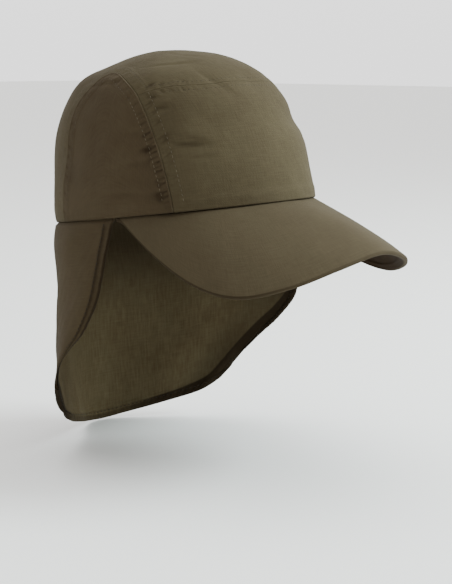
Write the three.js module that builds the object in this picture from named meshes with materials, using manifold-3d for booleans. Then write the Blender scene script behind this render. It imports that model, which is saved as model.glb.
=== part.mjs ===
// Legionnaire cap: a soft crown of four panels, a wide curved peak and a neck flap with a hem.
// The wearer faces -Y, with the left hand at +X. The origin is the middle of the head opening at the rim.

import * as THREE from "three";
import { mergeVertices } from "three/addons/utils/BufferGeometryUtils.js";
import Module from "manifold-3d";

const wasm = await Module();
wasm.setup();

// Crown sizes in millimetres, angles in degrees
const crownHalfLength = 98.4; // outside of the rim, middle to front and middle to back
const crownHalfWidth = 83.4; // outside of the rim, middle to side
const crownHeight = 115.2; // from the origin to the top
const crownWall = 1.6; // cloth and seam allowance
const topShift = 6.5; // the top lies this far behind the middle of the rim
const rimTilt = 7.8; // the front of the rim stands higher than the back
const rimRoundness = 2.15; // power of the rim's oval, where 2 is an ellipse
const seamGap = 0.3; // clear width of the seams between the panels

// Peak
const peakReach = 75; // forward of the rim at the middle
const peakFlare = 36; // the most that its edge could stand out sideways from the rim
const peakDrop = 50; // the fall that the edge's shares are taken of
const peakBulge = 4; // its middle stands this far above straight lines from rim to edge
const peakWall = 3; // stiffener between two layers of cloth
const peakTurn = 82.8; // its ends lie this far round the rim from the front
const peakSeat = 0.3; // clearance under the crown's edge

// Neck flap
const flapTurn = 85.3; // its front ends lie this far round the rim from the front
const flapDrop = 161; // from the rim at the back down to the hem
const flapWall = 1.2; // single cloth
const flapSeat = 0.3; // clearance inside the crown's wall
const flapMargin = 8; // height of the cloth that runs up inside the crown
const flapTuckFade = 12; // below the rim the flap comes out to its full form over this drop
const flapTwist = -4; // degrees that the hanging flap is turned about the vertical
const twistReach = 80; // the twist is complete this far below the rim
const cornerRise = 0.13; // share of the flap's drop by which its front corners are rounded up
const cornerSpan = 0.55; // share of its half width over which they are rounded
const wedgeRounding = 0.3; // radius of the wedge's back as a share of its half width
const hemWidth = 8;
const hemWall = 2; // cloth folded over on itself
const hemStep = 1; // width of the step from the hem down to the single cloth

// Numbers of faces
const crownColumns = 72;
const crownRows = 17;
const peakColumns = 32;
const peakRows = 5;
const flapColumns = 44;
const flapRows = 13;
const marginRows = 2;
const seamSteps = 40;

// Sections of the crown from the rim up to the top, evenly spaced.
// rise is a share of the height, front and back of the half length, side of the half width.
const crownSections = [
  { rise: 0, front: 1, back: 1, side: 1 },
  { rise: 0.16, front: 0.958, back: 1.035, side: 1.001 },
  { rise: 0.335, front: 0.905, back: 1.048, side: 0.982 },
  { rise: 0.513, front: 0.823, back: 1.036, side: 0.938 },
  { rise: 0.688, front: 0.726, back: 0.965, side: 0.854 },
  { rise: 0.815, front: 0.609, back: 0.83, side: 0.73 },
  { rise: 0.902, front: 0.489, back: 0.587, side: 0.541 },
  { rise: 0.972, front: 0.291, back: 0.302, side: 0.295 },
  { rise: 1, front: 0, back: 0, side: 0 },
];

// Dents and soft folds of the crown. turn is in degrees from the front towards the wearer's left,
// level a share of the way from rim to top, across and along their half sizes in the same units,
// slope the change of level for each degree, and depth a share of the crown's height.
const crownDents = [
  { turn: 36, level: 0.4, across: 24, along: 0.05, slope: 0.0008, depth: 0.015 },
  { turn: 38, level: 0.28, across: 26, along: 0.08, slope: 0, depth: -0.013 },
  { turn: -27, level: 0.6, across: 11, along: 0.05, slope: -0.0095, depth: 0.013 },
  { turn: -46, level: 0.31, across: 10, along: 0.045, slope: 0.0006, depth: 0.013 },
  { turn: -73, level: 0.34, across: 11, along: 0.05, slope: -0.0012, depth: 0.013 },
  { turn: -70, level: 0.15, across: 13, along: 0.05, slope: 0.0015, depth: 0.011 },
  { turn: -112, level: 0.3, across: 16, along: 0.07, slope: 0.003, depth: 0.012 },
  { turn: 72, level: 0.27, across: 13, along: 0.055, slope: 0.0015, depth: 0.013 },
  { turn: 118, level: 0.36, across: 17, along: 0.07, slope: -0.003, depth: 0.013 },
  { turn: 168, level: 0.24, across: 20, along: 0.06, slope: 0.001, depth: 0.014 },
];

// The side seam seen from the side: along is a share of the half length towards the back,
// up a share of the height.
const sideSeamRoute = [
  { along: -0.56, up: -0.08 },
  { along: -0.55, up: 0.07 },
  { along: -0.52, up: 0.19 },
  { along: -0.45, up: 0.37 },
  { along: -0.37, up: 0.51 },
  { along: -0.26, up: 0.65 },
  { along: -0.12, up: 0.763 },
  { along: 0.11, up: 0.848 },
  { along: 0.24, up: 0.84 },
  { along: 0.35, up: 0.75 },
  { along: 0.43, up: 0.65 },
  { along: 0.46, up: 0.53 },
  { along: 0.475, up: 0.35 },
  { along: 0.48, up: 0.1 },
  { along: 0.48, up: -0.2 },
];

// The top seam leaves the side seam at topSeamStart, a share of the side seam's length,
// and runs out over the front.
const topSeamStart = 0.375;
const topSeamRoute = [
  { along: -0.26, up: 0.757 },
  { along: -0.37, up: 0.783 },
  { along: -0.51, up: 0.795 },
  { along: -0.62, up: 0.815 },
  { along: -0.85, up: 0.83 },
];

// The peak's edge from the middle to its end, evenly spaced round the rim.
// Each row is how far the edge stands away from the rim, as shares of the peak's reach, flare and drop.
const peakEdge = [
  { forward: 1, outward: 0, down: 0.586 },
  { forward: 0.928, outward: 0.423, down: 0.719 },
  { forward: 0.8, outward: 0.684, down: 0.914 },
  { forward: 0.64, outward: 0.804, down: 1.032 },
  { forward: 0.47, outward: 0.607, down: 0.902 },
  { forward: 0.243, outward: 0.342, down: 0.511 },
  { forward: 0, outward: 0, down: 0 },
];

// Sections of the flap from the rim down to the hem, evenly spaced. side is a share of the crown's
// half width, edgeBack and spineBack how far the front edge and the middle of the back lie behind
// their places at the rim, as shares of the half length, edgeDrop and spineDrop shares of the flap's
// drop, and wedge how far the section goes from the rim's oval, at 0, to a wedge with a round back, at 1.
const flapSections = [
  { side: 0.998, edgeBack: 0, spineBack: 0, edgeDrop: 0, spineDrop: 0, wedge: 0 },
  { side: 1.165, edgeBack: -0.077, spineBack: -0.003, edgeDrop: 0.174, spineDrop: 0.143, wedge: 0.17 },
  { side: 1.263, edgeBack: -0.108, spineBack: -0.001, edgeDrop: 0.331, spineDrop: 0.286, wedge: 0.32 },
  { side: 1.317, edgeBack: -0.047, spineBack: 0.009, edgeDrop: 0.461, spineDrop: 0.429, wedge: 0.46 },
  { side: 1.32, edgeBack: 0.107, spineBack: 0.009, edgeDrop: 0.567, spineDrop: 0.572, wedge: 0.66 },
  { side: 1.256, edgeBack: 0.284, spineBack: 0, edgeDrop: 0.675, spineDrop: 0.715, wedge: 0.88 },
  { side: 1.107, edgeBack: 0.439, spineBack: -0.01, edgeDrop: 0.811, spineDrop: 0.858, wedge: 1.04 },
  { side: 0.894, edgeBack: 0.586, spineBack: -0.019, edgeDrop: 0.971, spineDrop: 1, wedge: 1.12 },
];

const clothColour = 0x6a614c;
const clothRoughness = 0.92;
const small = 1e-3; // step of the shares when a surface's slope is measured
const mergeDistance = 1e-4;
const lengthSteps = 24; // chords in a measured length
const halfRound = 180; // degrees from the front to the back
const wholeRound = 360;

const { degToRad, clamp, lerp, smoothstep, euclideanModulo } = THREE.MathUtils;

// A smooth curve through one column of a table whose rows are evenly spaced over 0 to 1.
// Past an end the column runs on straight, or is mirrored where the surface crosses that end.
function blend(rows, name, share, mirrorStart = false, mirrorEnd = false) {
  const last = rows.length - 1;
  const value = (row) => rows[row][name];
  const before = mirrorStart ? value(1) : 2 * value(0) - value(1);
  const after = mirrorEnd ? value(last - 1) : 2 * value(last) - value(last - 1);
  const all = [before, ...rows.map((row) => row[name]), after];
  const place = clamp(share, 0, 1) * last;
  const span = Math.min(Math.floor(place), last - 1);
  const f = place - span;
  const [a, b, c, d] = all.slice(span, span + 4);
  const bend = 2 * a - 5 * b + 4 * c - d;
  const swing = 3 * b - a - 3 * c + d;
  return 0.5 * (2 * b + (c - a) * f + bend * f * f + swing * f * f * f);
}

// The unit oval's point at a turn from its forward end.
function oval(turn, power) {
  const ahead = Math.cos(turn);
  const aside = Math.sin(turn);
  const size = (Math.abs(ahead) ** power + Math.abs(aside) ** power) ** (-1 / power);
  return { ahead: ahead * size, aside: aside * size };
}

const rimSlope = Math.tan(degToRad(rimTilt));

// The outside of the crown without its dents: turn in degrees from the front,
// level 0 at the rim and 1 at the top.
function crownForm(turn, level) {
  const { ahead, aside } = oval(degToRad(turn), rimRoundness);
  const front = blend(crownSections, "front", level);
  const back = blend(crownSections, "back", level);
  const rise = blend(crownSections, "rise", level, false, true);
  const side = blend(crownSections, "side", level);
  const reach = crownHalfLength * (ahead > 0 ? front : back);
  const y = topShift * (1 - (front + back) / 2) - reach * ahead;
  const z = crownHeight * rise - rimSlope * y * (1 - rise);
  return new THREE.Vector3(crownHalfWidth * side * aside, y, z);
}

// How far the dents press the crown in at a turn and level. They fade out at the rim and the top.
function dentDepth(turn, level) {
  const faded = Math.sqrt(Math.max(Math.sin(Math.PI * level), 0));
  return crownDents.reduce((sum, dent) => {
    const aside = euclideanModulo(turn - dent.turn + halfRound, wholeRound) - halfRound;
    const across = aside / dent.across;
    const along = (level - dent.level - dent.slope * aside) / dent.along;
    return sum + faded * crownHeight * dent.depth * Math.exp(-across * across - along * along);
  }, 0);
}

// The outward normal of a surface given as a function of two parameters, each kept inside its range.
function normalOf(surface, a, b, [aLow, aHigh], [bLow, bHigh], aStep, bStep) {
  const a0 = Math.max(a - aStep, aLow);
  const a1 = Math.min(a + aStep, aHigh);
  const b0 = Math.max(b - bStep, bLow);
  const b1 = Math.min(b + bStep, bHigh);
  const overA = surface(a1, b).sub(surface(a0, b));
  const overB = surface(a, b1).sub(surface(a, b0));
  return overA.cross(overB).normalize();
}

// A point of the crown's wall, depth inside its outer face. The rim is cut flat along its slanted plane.
function crownPoint(turn, level, depth) {
  const point = crownForm(turn, level);
  const belowTop = Math.min(level, 1 - small);
  const normal =
    level < 1
      ? normalOf(crownForm, turn, belowTop, [-wholeRound, wholeRound], [0, 1], 1, small)
      : new THREE.Vector3(0, 0, 1);
  point.addScaledVector(normal, -depth - dentDepth(turn, level));
  if (level === 0) point.z = -rimSlope * point.y;
  return point;
}

// A closed sheet between an outer and an inner face, each a function of two shares.
// across and along list the shares of the grid lines. A sheet that wraps has no walls at its two ends across.
function closedSheet(outer, inner, across, along, wraps) {
  const corners = [];
  const columns = across.length - 1;
  const rows = along.length - 1;
  const grids = [outer, inner].map((face) => along.map((v) => across.map((u) => face(u, v))));
  const [top, under] = grids;
  const quad = (a, b, c, d) => corners.push(a, b, c, a, c, d);
  for (let row = 0; row < rows; row += 1) {
    for (let column = 0; column < columns; column += 1) {
      const [a, b] = [top[row][column], top[row][column + 1]];
      const [d, c] = [top[row + 1][column], top[row + 1][column + 1]];
      quad(a, b, c, d);
      const [e, f] = [under[row][column], under[row][column + 1]];
      const [h, g] = [under[row + 1][column], under[row + 1][column + 1]];
      quad(e, h, g, f);
    }
  }
  for (let column = 0; column < columns; column += 1) {
    quad(top[0][column], under[0][column], under[0][column + 1], top[0][column + 1]);
    quad(top[rows][column + 1], under[rows][column + 1], under[rows][column], top[rows][column]);
  }
  for (let row = 0; row < rows && !wraps; row += 1) {
    quad(top[row + 1][0], under[row + 1][0], under[row][0], top[row][0]);
    quad(top[row][columns], under[row][columns], under[row + 1][columns], top[row + 1][columns]);
  }
  return solidFrom(new THREE.BufferGeometry().setFromPoints(corners));
}

// A geometry as a solid, with its shared corners merged and the triangles that close up dropped.
function solidFrom(geometry) {
  const bare = geometry.index ? geometry.toNonIndexed() : geometry;
  bare.deleteAttribute("normal");
  bare.deleteAttribute("uv");
  const merged = mergeVertices(bare, mergeDistance);
  const index = merged.index.array;
  const kept = [];
  for (let i = 0; i < index.length; i += 3) {
    const [a, b, c] = index.slice(i, i + 3);
    if (a !== b && b !== c && c !== a) kept.push(a, b, c);
  }
  return new wasm.Manifold(
    new wasm.Mesh({
      numProp: 3,
      vertProperties: new Float32Array(merged.attributes.position.array),
      triVerts: new Uint32Array(kept),
    }),
  );
}

// A solid as a named mesh.
function meshFrom(name, solid) {
  const { vertProperties, triVerts } = solid.getMesh();
  const geometry = new THREE.BufferGeometry();
  geometry.setAttribute("position", new THREE.BufferAttribute(vertProperties, 3));
  geometry.setIndex(new THREE.BufferAttribute(triVerts, 1));
  geometry.computeVertexNormals();
  const material = new THREE.MeshStandardMaterial({
    color: clothColour,
    roughness: clothRoughness,
    metalness: 0,
  });
  const mesh = new THREE.Mesh(geometry, material);
  mesh.name = name;
  return mesh;
}

// Evenly spaced shares from low to high, both included.
function shares(count, low = 0, high = 1) {
  return Array.from({ length: count + 1 }, (_, i) => lerp(low, high, i / count));
}

// The blade that cuts a seam: a thin strip along a route seen from the side, running through the whole width.
function seamBlade(route) {
  const spots = route.getSpacedPoints(seamSteps);
  const sides = [1, -1].map((side) =>
    spots.map((spot, i) => {
      const slope = route.getTangentAt(i / seamSteps);
      const half = (side * seamGap) / 2;
      return new THREE.Vector2(spot.x - slope.y * half, spot.y + slope.x * half);
    }),
  );
  const outline = new THREE.Shape([...sides[0], ...sides[1].reverse()]);
  const width = 3 * crownHalfWidth;
  const strip = new THREE.ExtrudeGeometry(outline, { depth: width, bevelEnabled: false });
  strip.translate(0, 0, -width / 2);
  const [x, y, z] = [[1, 0, 0], [0, 1, 0], [0, 0, 1]].map((axis) => new THREE.Vector3(...axis));
  strip.applyMatrix4(new THREE.Matrix4().makeBasis(y, z, x));
  return solidFrom(strip);
}

function seamSpot({ along, up }) {
  return new THREE.Vector2(along * crownHalfLength, up * crownHeight);
}

// The crown's shell, cut along its seams into the four panels.
function crownPanels() {
  const face = (depth) => (u, v) => crownPoint(wholeRound * u - halfRound, v, depth);
  const shell = closedSheet(face(0), face(crownWall), shares(crownColumns), shares(crownRows), true);
  const sideSeam = new THREE.SplineCurve(sideSeamRoute.map(seamSpot));
  const junction = sideSeam.getPointAt(topSeamStart);
  const topSeam = new THREE.SplineCurve([junction, ...topSeamRoute.map(seamSpot)]);
  const pieces = shell.subtract(seamBlade(sideSeam)).subtract(seamBlade(topSeam)).decompose();
  const middle = (solid, axis) => {
    const { min, max } = solid.boundingBox();
    return (min[axis] + max[axis]) / 2;
  };
  const [right, ...others] = pieces.sort((a, b) => middle(a, 0) - middle(b, 0));
  const left = others.pop();
  const [front, top] = others.sort((a, b) => middle(a, 1) - middle(b, 1));
  return [
    meshFrom("crown_front_panel", front),
    meshFrom("crown_top_panel", top),
    meshFrom("crown_side_panel_right", right),
    meshFrom("crown_side_panel_left", left),
  ];
}

// The peak's upper face: across from -1 to 1 round the rim, inward from 0 at its edge to 1 under the rim.
function peakForm(across, inward) {
  const share = Math.abs(across);
  const turn = across * peakTurn;
  const root = crownPoint(turn, 0, crownWall);
  root.z -= peakSeat;
  const edge = crownPoint(turn, 0, 0);
  edge.x += Math.sign(across) * peakFlare * blend(peakEdge, "outward", share);
  edge.y -= peakReach * blend(peakEdge, "forward", share, true);
  edge.z -= peakDrop * blend(peakEdge, "down", share, true) + peakSeat * inward;
  const point = edge.lerp(root, inward);
  point.z += 4 * peakBulge * inward * (1 - inward) * (1 - share ** 4);
  return point;
}

function peak() {
  const lower = (u, v) => {
    const inside = clamp(u, small - 1, 1 - small);
    const normal = normalOf(peakForm, inside, v, [-1, 1], [0, 1], small, small);
    return peakForm(u, v).addScaledVector(normal, -peakWall);
  };
  return meshFrom("peak", closedSheet(peakForm, lower, shares(peakColumns, -1, 1), shares(peakRows), false));
}

// Turns a hanging point about the vertical, more and more with its drop below the rim.
function twisted(point) {
  const turned = degToRad(flapTwist) * smoothstep(-point.z, 0, twistReach);
  return point.applyAxisAngle(new THREE.Vector3(0, 0, 1), turned);
}

// The flap's outer face below the rim: across from -1 to 1 round the back, down from 0 to 1 at the hem.
function flapForm(across, down) {
  const halfTurn = degToRad(halfRound - flapTurn);
  const here = oval(Math.abs(across) * halfTurn, rimRoundness);
  const end = oval(halfTurn, rimRoundness);
  const aside = here.aside / end.aside;
  const round = (here.ahead - end.ahead) / (1 - end.ahead);
  const corner = Math.hypot(1, wedgeRounding) - wedgeRounding;
  const wedge = 1 - (Math.hypot(aside, wedgeRounding) - wedgeRounding) / corner;
  const toBack = lerp(round, wedge, blend(flapSections, "wedge", down));
  const rimEnd = crownForm(flapTurn, 0);
  const rimBack = crownForm(halfRound, 0);
  const edgeY = rimEnd.y + crownHalfLength * blend(flapSections, "edgeBack", down);
  const spineY = rimBack.y + crownHalfLength * blend(flapSections, "spineBack", down);
  const edgeZ = rimEnd.z - flapDrop * blend(flapSections, "edgeDrop", down);
  const spineZ = rimBack.z - flapDrop * blend(flapSections, "spineDrop", down);
  const x = Math.sign(across) * crownHalfWidth * blend(flapSections, "side", down) * aside;
  return twisted(new THREE.Vector3(x, lerp(edgeY, spineY, toBack), lerp(edgeZ, spineZ, toBack)));
}

// The lowest share of the flap's drop that the cloth reaches, rounded up at the front corners.
function hemShare(across) {
  const past = Math.max((Math.abs(across) - 1 + cornerSpan) / cornerSpan, 0);
  return 1 - cornerRise * (1 - Math.sqrt(Math.max(1 - past * past, 0)));
}

// A point of the flap, depth inside its outer face. With down from -1 to 0 it is on the margin,
// which runs up inside the crown.
function flapPoint(across, down, depth) {
  const turn = halfRound - across * (halfRound - flapTurn);
  const tuck = crownWall + flapSeat;
  if (down <= 0) {
    const levelHeight = crownHeight * crownSections[1].rise * (crownSections.length - 1);
    return crownPoint(turn, (-down * flapMargin) / levelHeight, tuck + depth);
  }
  const share = down * hemShare(across);
  const point = flapForm(across, share);
  const normal = normalOf(flapForm, across, share, [-1, 1], [0, 1], small, small);
  const faded = 1 - smoothstep(share * flapDrop, 0, flapTuckFade);
  return point.addScaledVector(normal, -depth - tuck * faded);
}

function lengthOf(curve) {
  const spots = shares(lengthSteps).map(curve);
  return spots.slice(1).reduce((sum, spot, i) => sum + spot.distanceTo(spots[i]), 0);
}

function neckFlap() {
  const halfWidth = lengthOf((share) => flapForm(share, 1 / 2));
  const height = lengthOf((share) => flapForm(0, share));
  const [hemAcross, clothAcross] = [hemWidth, hemWidth + hemStep].map((width) => 1 - width / halfWidth);
  const [hemDown, clothDown] = [hemWidth, hemWidth + hemStep].map((width) => 1 - width / height);
  const across = [-1, -hemAcross, ...shares(flapColumns, -clothAcross, clothAcross), hemAcross, 1];
  const along = [...shares(marginRows, -1, 0).slice(0, -1), ...shares(flapRows, 0, clothDown), hemDown, 1];
  const wall = (u, v) => {
    const toEdge = Math.min((1 - Math.abs(u)) * halfWidth, (1 - v) * height);
    return lerp(hemWall, flapWall, clamp((toEdge - hemWidth) / hemStep, 0, 1));
  };
  const outer = (u, v) => flapPoint(u, v, 0);
  const inner = (u, v) => flapPoint(u, v, wall(u, v));
  return meshFrom("neck_flap", closedSheet(outer, inner, across, along, false));
}

const cap = new THREE.Group();
cap.add(...crownPanels(), peak(), neckFlap());

export default cap;
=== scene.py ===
"""Looks of the legionnaire cap: a soft crown of four panels, a curved peak and a neck flap.

Lengths are in metres. The wearer faces -Y with the left hand at +X, and +Z is up. The origin is the
middle of the head opening at the rim. Turns are in degrees from the front towards +X.
"""

import logging
import math
from dataclasses import dataclass, field
from enum import Enum
from typing import Optional, Sequence

import bpy
import numpy as np
from mathutils import Matrix, Vector
from mathutils.bvhtree import BVHTree


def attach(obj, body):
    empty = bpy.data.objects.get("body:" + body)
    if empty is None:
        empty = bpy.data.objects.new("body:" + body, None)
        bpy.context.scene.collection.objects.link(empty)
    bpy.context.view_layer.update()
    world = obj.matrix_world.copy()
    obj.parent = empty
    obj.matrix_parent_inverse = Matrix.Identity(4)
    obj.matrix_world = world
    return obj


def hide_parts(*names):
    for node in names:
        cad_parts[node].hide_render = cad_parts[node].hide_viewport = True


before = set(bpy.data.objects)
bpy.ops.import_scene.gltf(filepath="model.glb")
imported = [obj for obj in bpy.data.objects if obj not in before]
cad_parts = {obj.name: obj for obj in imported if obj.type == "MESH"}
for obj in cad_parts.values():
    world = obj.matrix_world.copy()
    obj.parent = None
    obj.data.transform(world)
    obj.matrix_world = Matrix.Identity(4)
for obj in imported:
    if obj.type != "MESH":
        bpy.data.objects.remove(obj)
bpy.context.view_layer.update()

log = logging.getLogger("cap")
Array = np.ndarray
Column = tuple[float, ...]
Table = tuple[Column, ...]
MM = 0.001
SPLINE_SAMPLES = 4000  # points that stand for a smooth spline before it is measured
BLOCK = 8192  # points whose distances are worked out at a time


class Slot(Enum):
    """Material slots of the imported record."""

    CROWN = "crown_cloth"
    PEAK = "peak_cloth"
    FLAP = "flap_cloth"


# Curves and fields


def catmull_rom(knots: Array, place: Array) -> Array:
    """Catmull-Rom spline: a cubic on each span, whose slope at a knot is half the step between that
    knot's neighbours.

    Args:
        knots: Values or points, one a row, with one more before the start and after the end.
        place: Where to read the spline, counted in spans from the second knot.

    Returns:
        One value or point a place.
    """
    span = np.clip(np.floor(place), 0, len(knots) - 4).astype(int)
    f = np.reshape(place - span, np.shape(place) + (1,) * (knots.ndim - 1))
    a, b, c, d = (knots[span + i] for i in range(4))
    square = (2 * a - 5 * b + 4 * c - d) * f**2
    cube = (3 * b - a - 3 * c + d) * f**3
    return 0.5 * (2 * b + (c - a) * f + square + cube)


def blend(
    column: Sequence[float], share: Array, mirror_start: bool = False, mirror_end: bool = False
) -> Array:
    """Smooth curve through evenly spaced values, a Catmull-Rom spline over shares from 0 to 1.

    Args:
        column: The values, evenly spaced.
        share: Where to read the curve.
        mirror_start: The curve is mirrored at its start instead of run on straight.
        mirror_end: The same at its end.

    Returns:
        The curve's values at the shares.
    """
    rows = np.asarray(column, float)
    before = rows[1] if mirror_start else 2 * rows[0] - rows[1]
    after = rows[-2] if mirror_end else 2 * rows[-1] - rows[-2]
    knots = np.concatenate([[before], rows, [after]])
    return catmull_rom(knots, np.asarray(share, float) * (len(rows) - 1))


def spline(points: Array, count: int) -> Array:
    """Catmull-Rom spline through uneven points, with its end points doubled, at even steps of length.

    Args:
        points: The points that it passes, one a row.
        count: How many points to return.

    Returns:
        Points along the spline.
    """
    knots = np.vstack([points[:1], points, points[-1:]])
    dense = catmull_rom(knots, np.linspace(0, len(points) - 1, SPLINE_SAMPLES))
    return along_length(dense, np.linspace(0, 1, count))


def lengths(points: Array, axis: int = 0) -> Array:
    """Length from the start to each point: the running sum of the steps between the points.

    Args:
        points: A polyline, or a grid of points.
        axis: The grid's direction in which the length is measured.

    Returns:
        The lengths, 0 at the start.
    """
    steps = np.linalg.norm(np.diff(points, axis=axis), axis=-1)
    return np.concatenate([np.zeros_like(steps.take([0], axis)), steps.cumsum(axis)], axis)


def cloth_uv(wide: Array, along: Array) -> Array:
    """UV in centimetres of cloth, with 0 across in the grid's middle column.

    Args:
        wide: Lengths across the cloth over the grid.
        along: Lengths along it, a grid or one column.

    Returns:
        The UV over the grid.
    """
    middle = wide.shape[1] // 2
    return np.stack([wide - wide[:, [middle]], np.broadcast_to(along, wide.shape)], -1) * 100


def along_length(points: Array, shares: Array, measured: Optional[Array] = None) -> Array:
    """Points of a polyline at shares of its length.

    Args:
        points: The polyline's points.
        shares: Shares of the length from 0 to 1.
        measured: Another polyline with the same points in other coordinates, whose length is used.

    Returns:
        One point a share.
    """
    run = lengths(points if measured is None else measured)
    return np.stack([np.interp(shares * run[-1], run, points[:, i]) for i in range(points.shape[1])], 1)


def oval(turn: Array, power: float) -> tuple[Array, Array]:
    """Point of a unit superellipse, where |ahead|^power + |aside|^power is 1.

    Args:
        turn: Turns in degrees from its forward end.
        power: 2 for a circle, more for a squarer form.

    Returns:
        How far ahead and how far aside the point lies.
    """
    ahead = np.cos(np.radians(turn))
    aside = np.sin(np.radians(turn))
    size = (np.abs(ahead) ** power + np.abs(aside) ** power) ** (-1 / power)
    return ahead * size, aside * size


def smooth(low: float | Array, high: float | Array, value: Array) -> Array:
    """Smooth step, 0 at low and 1 at high: 3t² - 2t³ of the share t of the way between them."""
    t = np.clip((value - low) / (high - low), 0, 1)
    return t * t * (3 - 2 * t)


def hump(value: Array, centre: float, half: float) -> Array:
    """Bell curve of height 1 at the centre."""
    return np.exp(-(((value - centre) / half) ** 2))


def valley(off: Array, half: float, ridge: float, ridge_place: float, ridge_half: float) -> Array:
    """Valley of depth 1 with a lower ridge beside it, both bell curves."""
    return hump(off, 0, half) - ridge * hump(off, ridge_place, ridge_half)


def lip(distance: Array, radius: float | Array) -> Array:
    """Drop of a quarter-round edge: radius at the edge, 0 at a radius from it."""
    t = np.clip(1 - distance / radius, 0, 1)
    return radius * (1 - np.sqrt(np.maximum(1 - t * t, 0)))


def nearest(points: Array, route: Array) -> tuple[Array, Array]:
    """Nearest of a route's points, by the squared distance |p|² + |q|² - 2 p·q, in blocks.

    Args:
        points: Points, one a row.
        route: The route's points.

    Returns:
        For each point the number of the nearest one on the route, and the distance to it.
    """
    index = np.empty(len(points), int)
    squared = np.empty(len(points))
    for start in range(0, len(points), BLOCK):
        here = slice(start, start + BLOCK)
        sums = (points[here] ** 2).sum(1)[:, None] + (route**2).sum(1) - 2 * points[here] @ route.T
        index[here] = sums.argmin(1)
        squared[here] = sums.min(1)
    return index, np.sqrt(np.maximum(squared, 0))


def unit(vectors: Array) -> Array:
    """Vectors scaled to length 1."""
    return vectors / np.maximum(np.linalg.norm(vectors, axis=-1, keepdims=True), 1e-12)


def clustered(count: int, pull: float) -> Array:
    """Shares from 0 to 1 that stand closer together at both ends, the more so the larger pull is."""
    t = np.linspace(0, 1, count)
    return t + pull * (0.5 - 0.5 * np.cos(np.pi * t) - t)


@dataclass(frozen=True)
class Unevenness:
    """Small random swell of handled cloth: a sum of seeded plane waves through space."""

    seed: int
    shortest: float  # wavelength
    longest: float
    height: float
    waves: int = 18

    def at(self, points: Array) -> Array:
        """Height of the swell, the sum of the waves' sines, each as high as the root of its length.

        Args:
            points: Points in space.

        Returns:
            Height at each of them.
        """
        rng = np.random.default_rng(self.seed)
        way = unit(rng.normal(size=(self.waves, 3)))
        length = np.exp(rng.uniform(math.log(self.shortest), math.log(self.longest), self.waves))
        phase = rng.uniform(0, 2 * math.pi, self.waves)
        wave = np.sin(points @ (way * (2 * math.pi / length)[:, None]).T + phase)
        return self.height * (wave * np.sqrt(length / self.longest)).sum(-1) / math.sqrt(self.waves)


# Meshes


@dataclass
class Shell:
    """A closed sheet made of an outer grid and a coarser inner grid, joined round their borders.

    The grids are rows by columns by 3, and every step-th row and column of the outer grid stands
    over one of the inner grid.
    """

    name: str
    outer: Array
    inner: Array
    uv: Array
    fields: dict[str, Array]
    inner_fields: dict[str, Array] = field(default_factory=dict)

    @property
    def step(self) -> int:
        """How many steps of the outer grid stand over one of the inner grid."""
        return (len(self.outer) - 1) // (len(self.inner) - 1)

    def faces(self) -> tuple[Array, Array]:
        """Faces of both grids, and of a strip of quads and triangles that runs round the border and
        ties each outer corner to the nearest inner one.

        Returns:
            Vertex numbers of all faces in turn, and how many corners each face has.
        """
        rows, cols = self.outer.shape[:2]
        low_rows, low_cols = self.inner.shape[:2]
        top = np.arange(rows * cols).reshape(rows, cols)
        under = rows * cols + np.arange(low_rows * low_cols).reshape(low_rows, low_cols)

        def quads(grid: Array) -> Array:
            """Faces of one grid."""
            return np.stack([grid[:-1, :-1], grid[:-1, 1:], grid[1:, 1:], grid[1:, :-1]], -1).reshape(-1, 4)

        def border(grid: Array) -> Array:
            """The grid's border as one loop."""
            return np.concatenate([grid[0, :-1], grid[:-1, -1], grid[-1, :0:-1], grid[:0:-1, 0]])

        edge = border(top)
        low = border(under)
        near = np.floor((np.arange(len(edge)) + self.step / 2) / self.step).astype(int) % len(low)
        p, q = edge, np.roll(edge, -1)
        p_low, q_low = low[near], low[np.roll(near, -1)]
        same = p_low == q_low
        wide = np.stack([q, p, p_low, q_low], 1)[~same]
        narrow = np.stack([q, p, p_low], 1)[same]
        four = np.concatenate([quads(top), quads(under)[:, ::-1], wide])
        corners = np.concatenate([four.ravel(), narrow.ravel()])
        counts = np.concatenate([np.full(len(four), 4), np.full(len(narrow), 3)])
        return corners, counts

    def build(self) -> bpy.types.Object:
        """Makes the mesh object with its UV map and its point fields.

        Returns:
            The object.
        """
        points = np.concatenate([self.outer.reshape(-1, 3), self.inner.reshape(-1, 3)])
        first_inner = self.outer.size // 3

        def coarse(grid: Array) -> Array:
            """The values that stand over the inner grid's points."""
            return grid[:: self.step, :: self.step]

        def both(grid: Array) -> Array:
            """A field of the outer grid carried over to the inner one."""
            flat = grid.reshape(first_inner, -1)
            return np.concatenate([flat, coarse(grid).reshape(-1, flat.shape[1])])

        fields = {name: both(values).ravel() for name, values in self.fields.items()}
        fields["inside"] = (np.arange(len(points)) >= first_inner).astype(float)
        for name, values in self.inner_fields.items():
            fields[name][first_inner:] = coarse(values).ravel()
        return mesh_object(self.name, points, *self.faces(), both(self.uv), fields)


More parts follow.
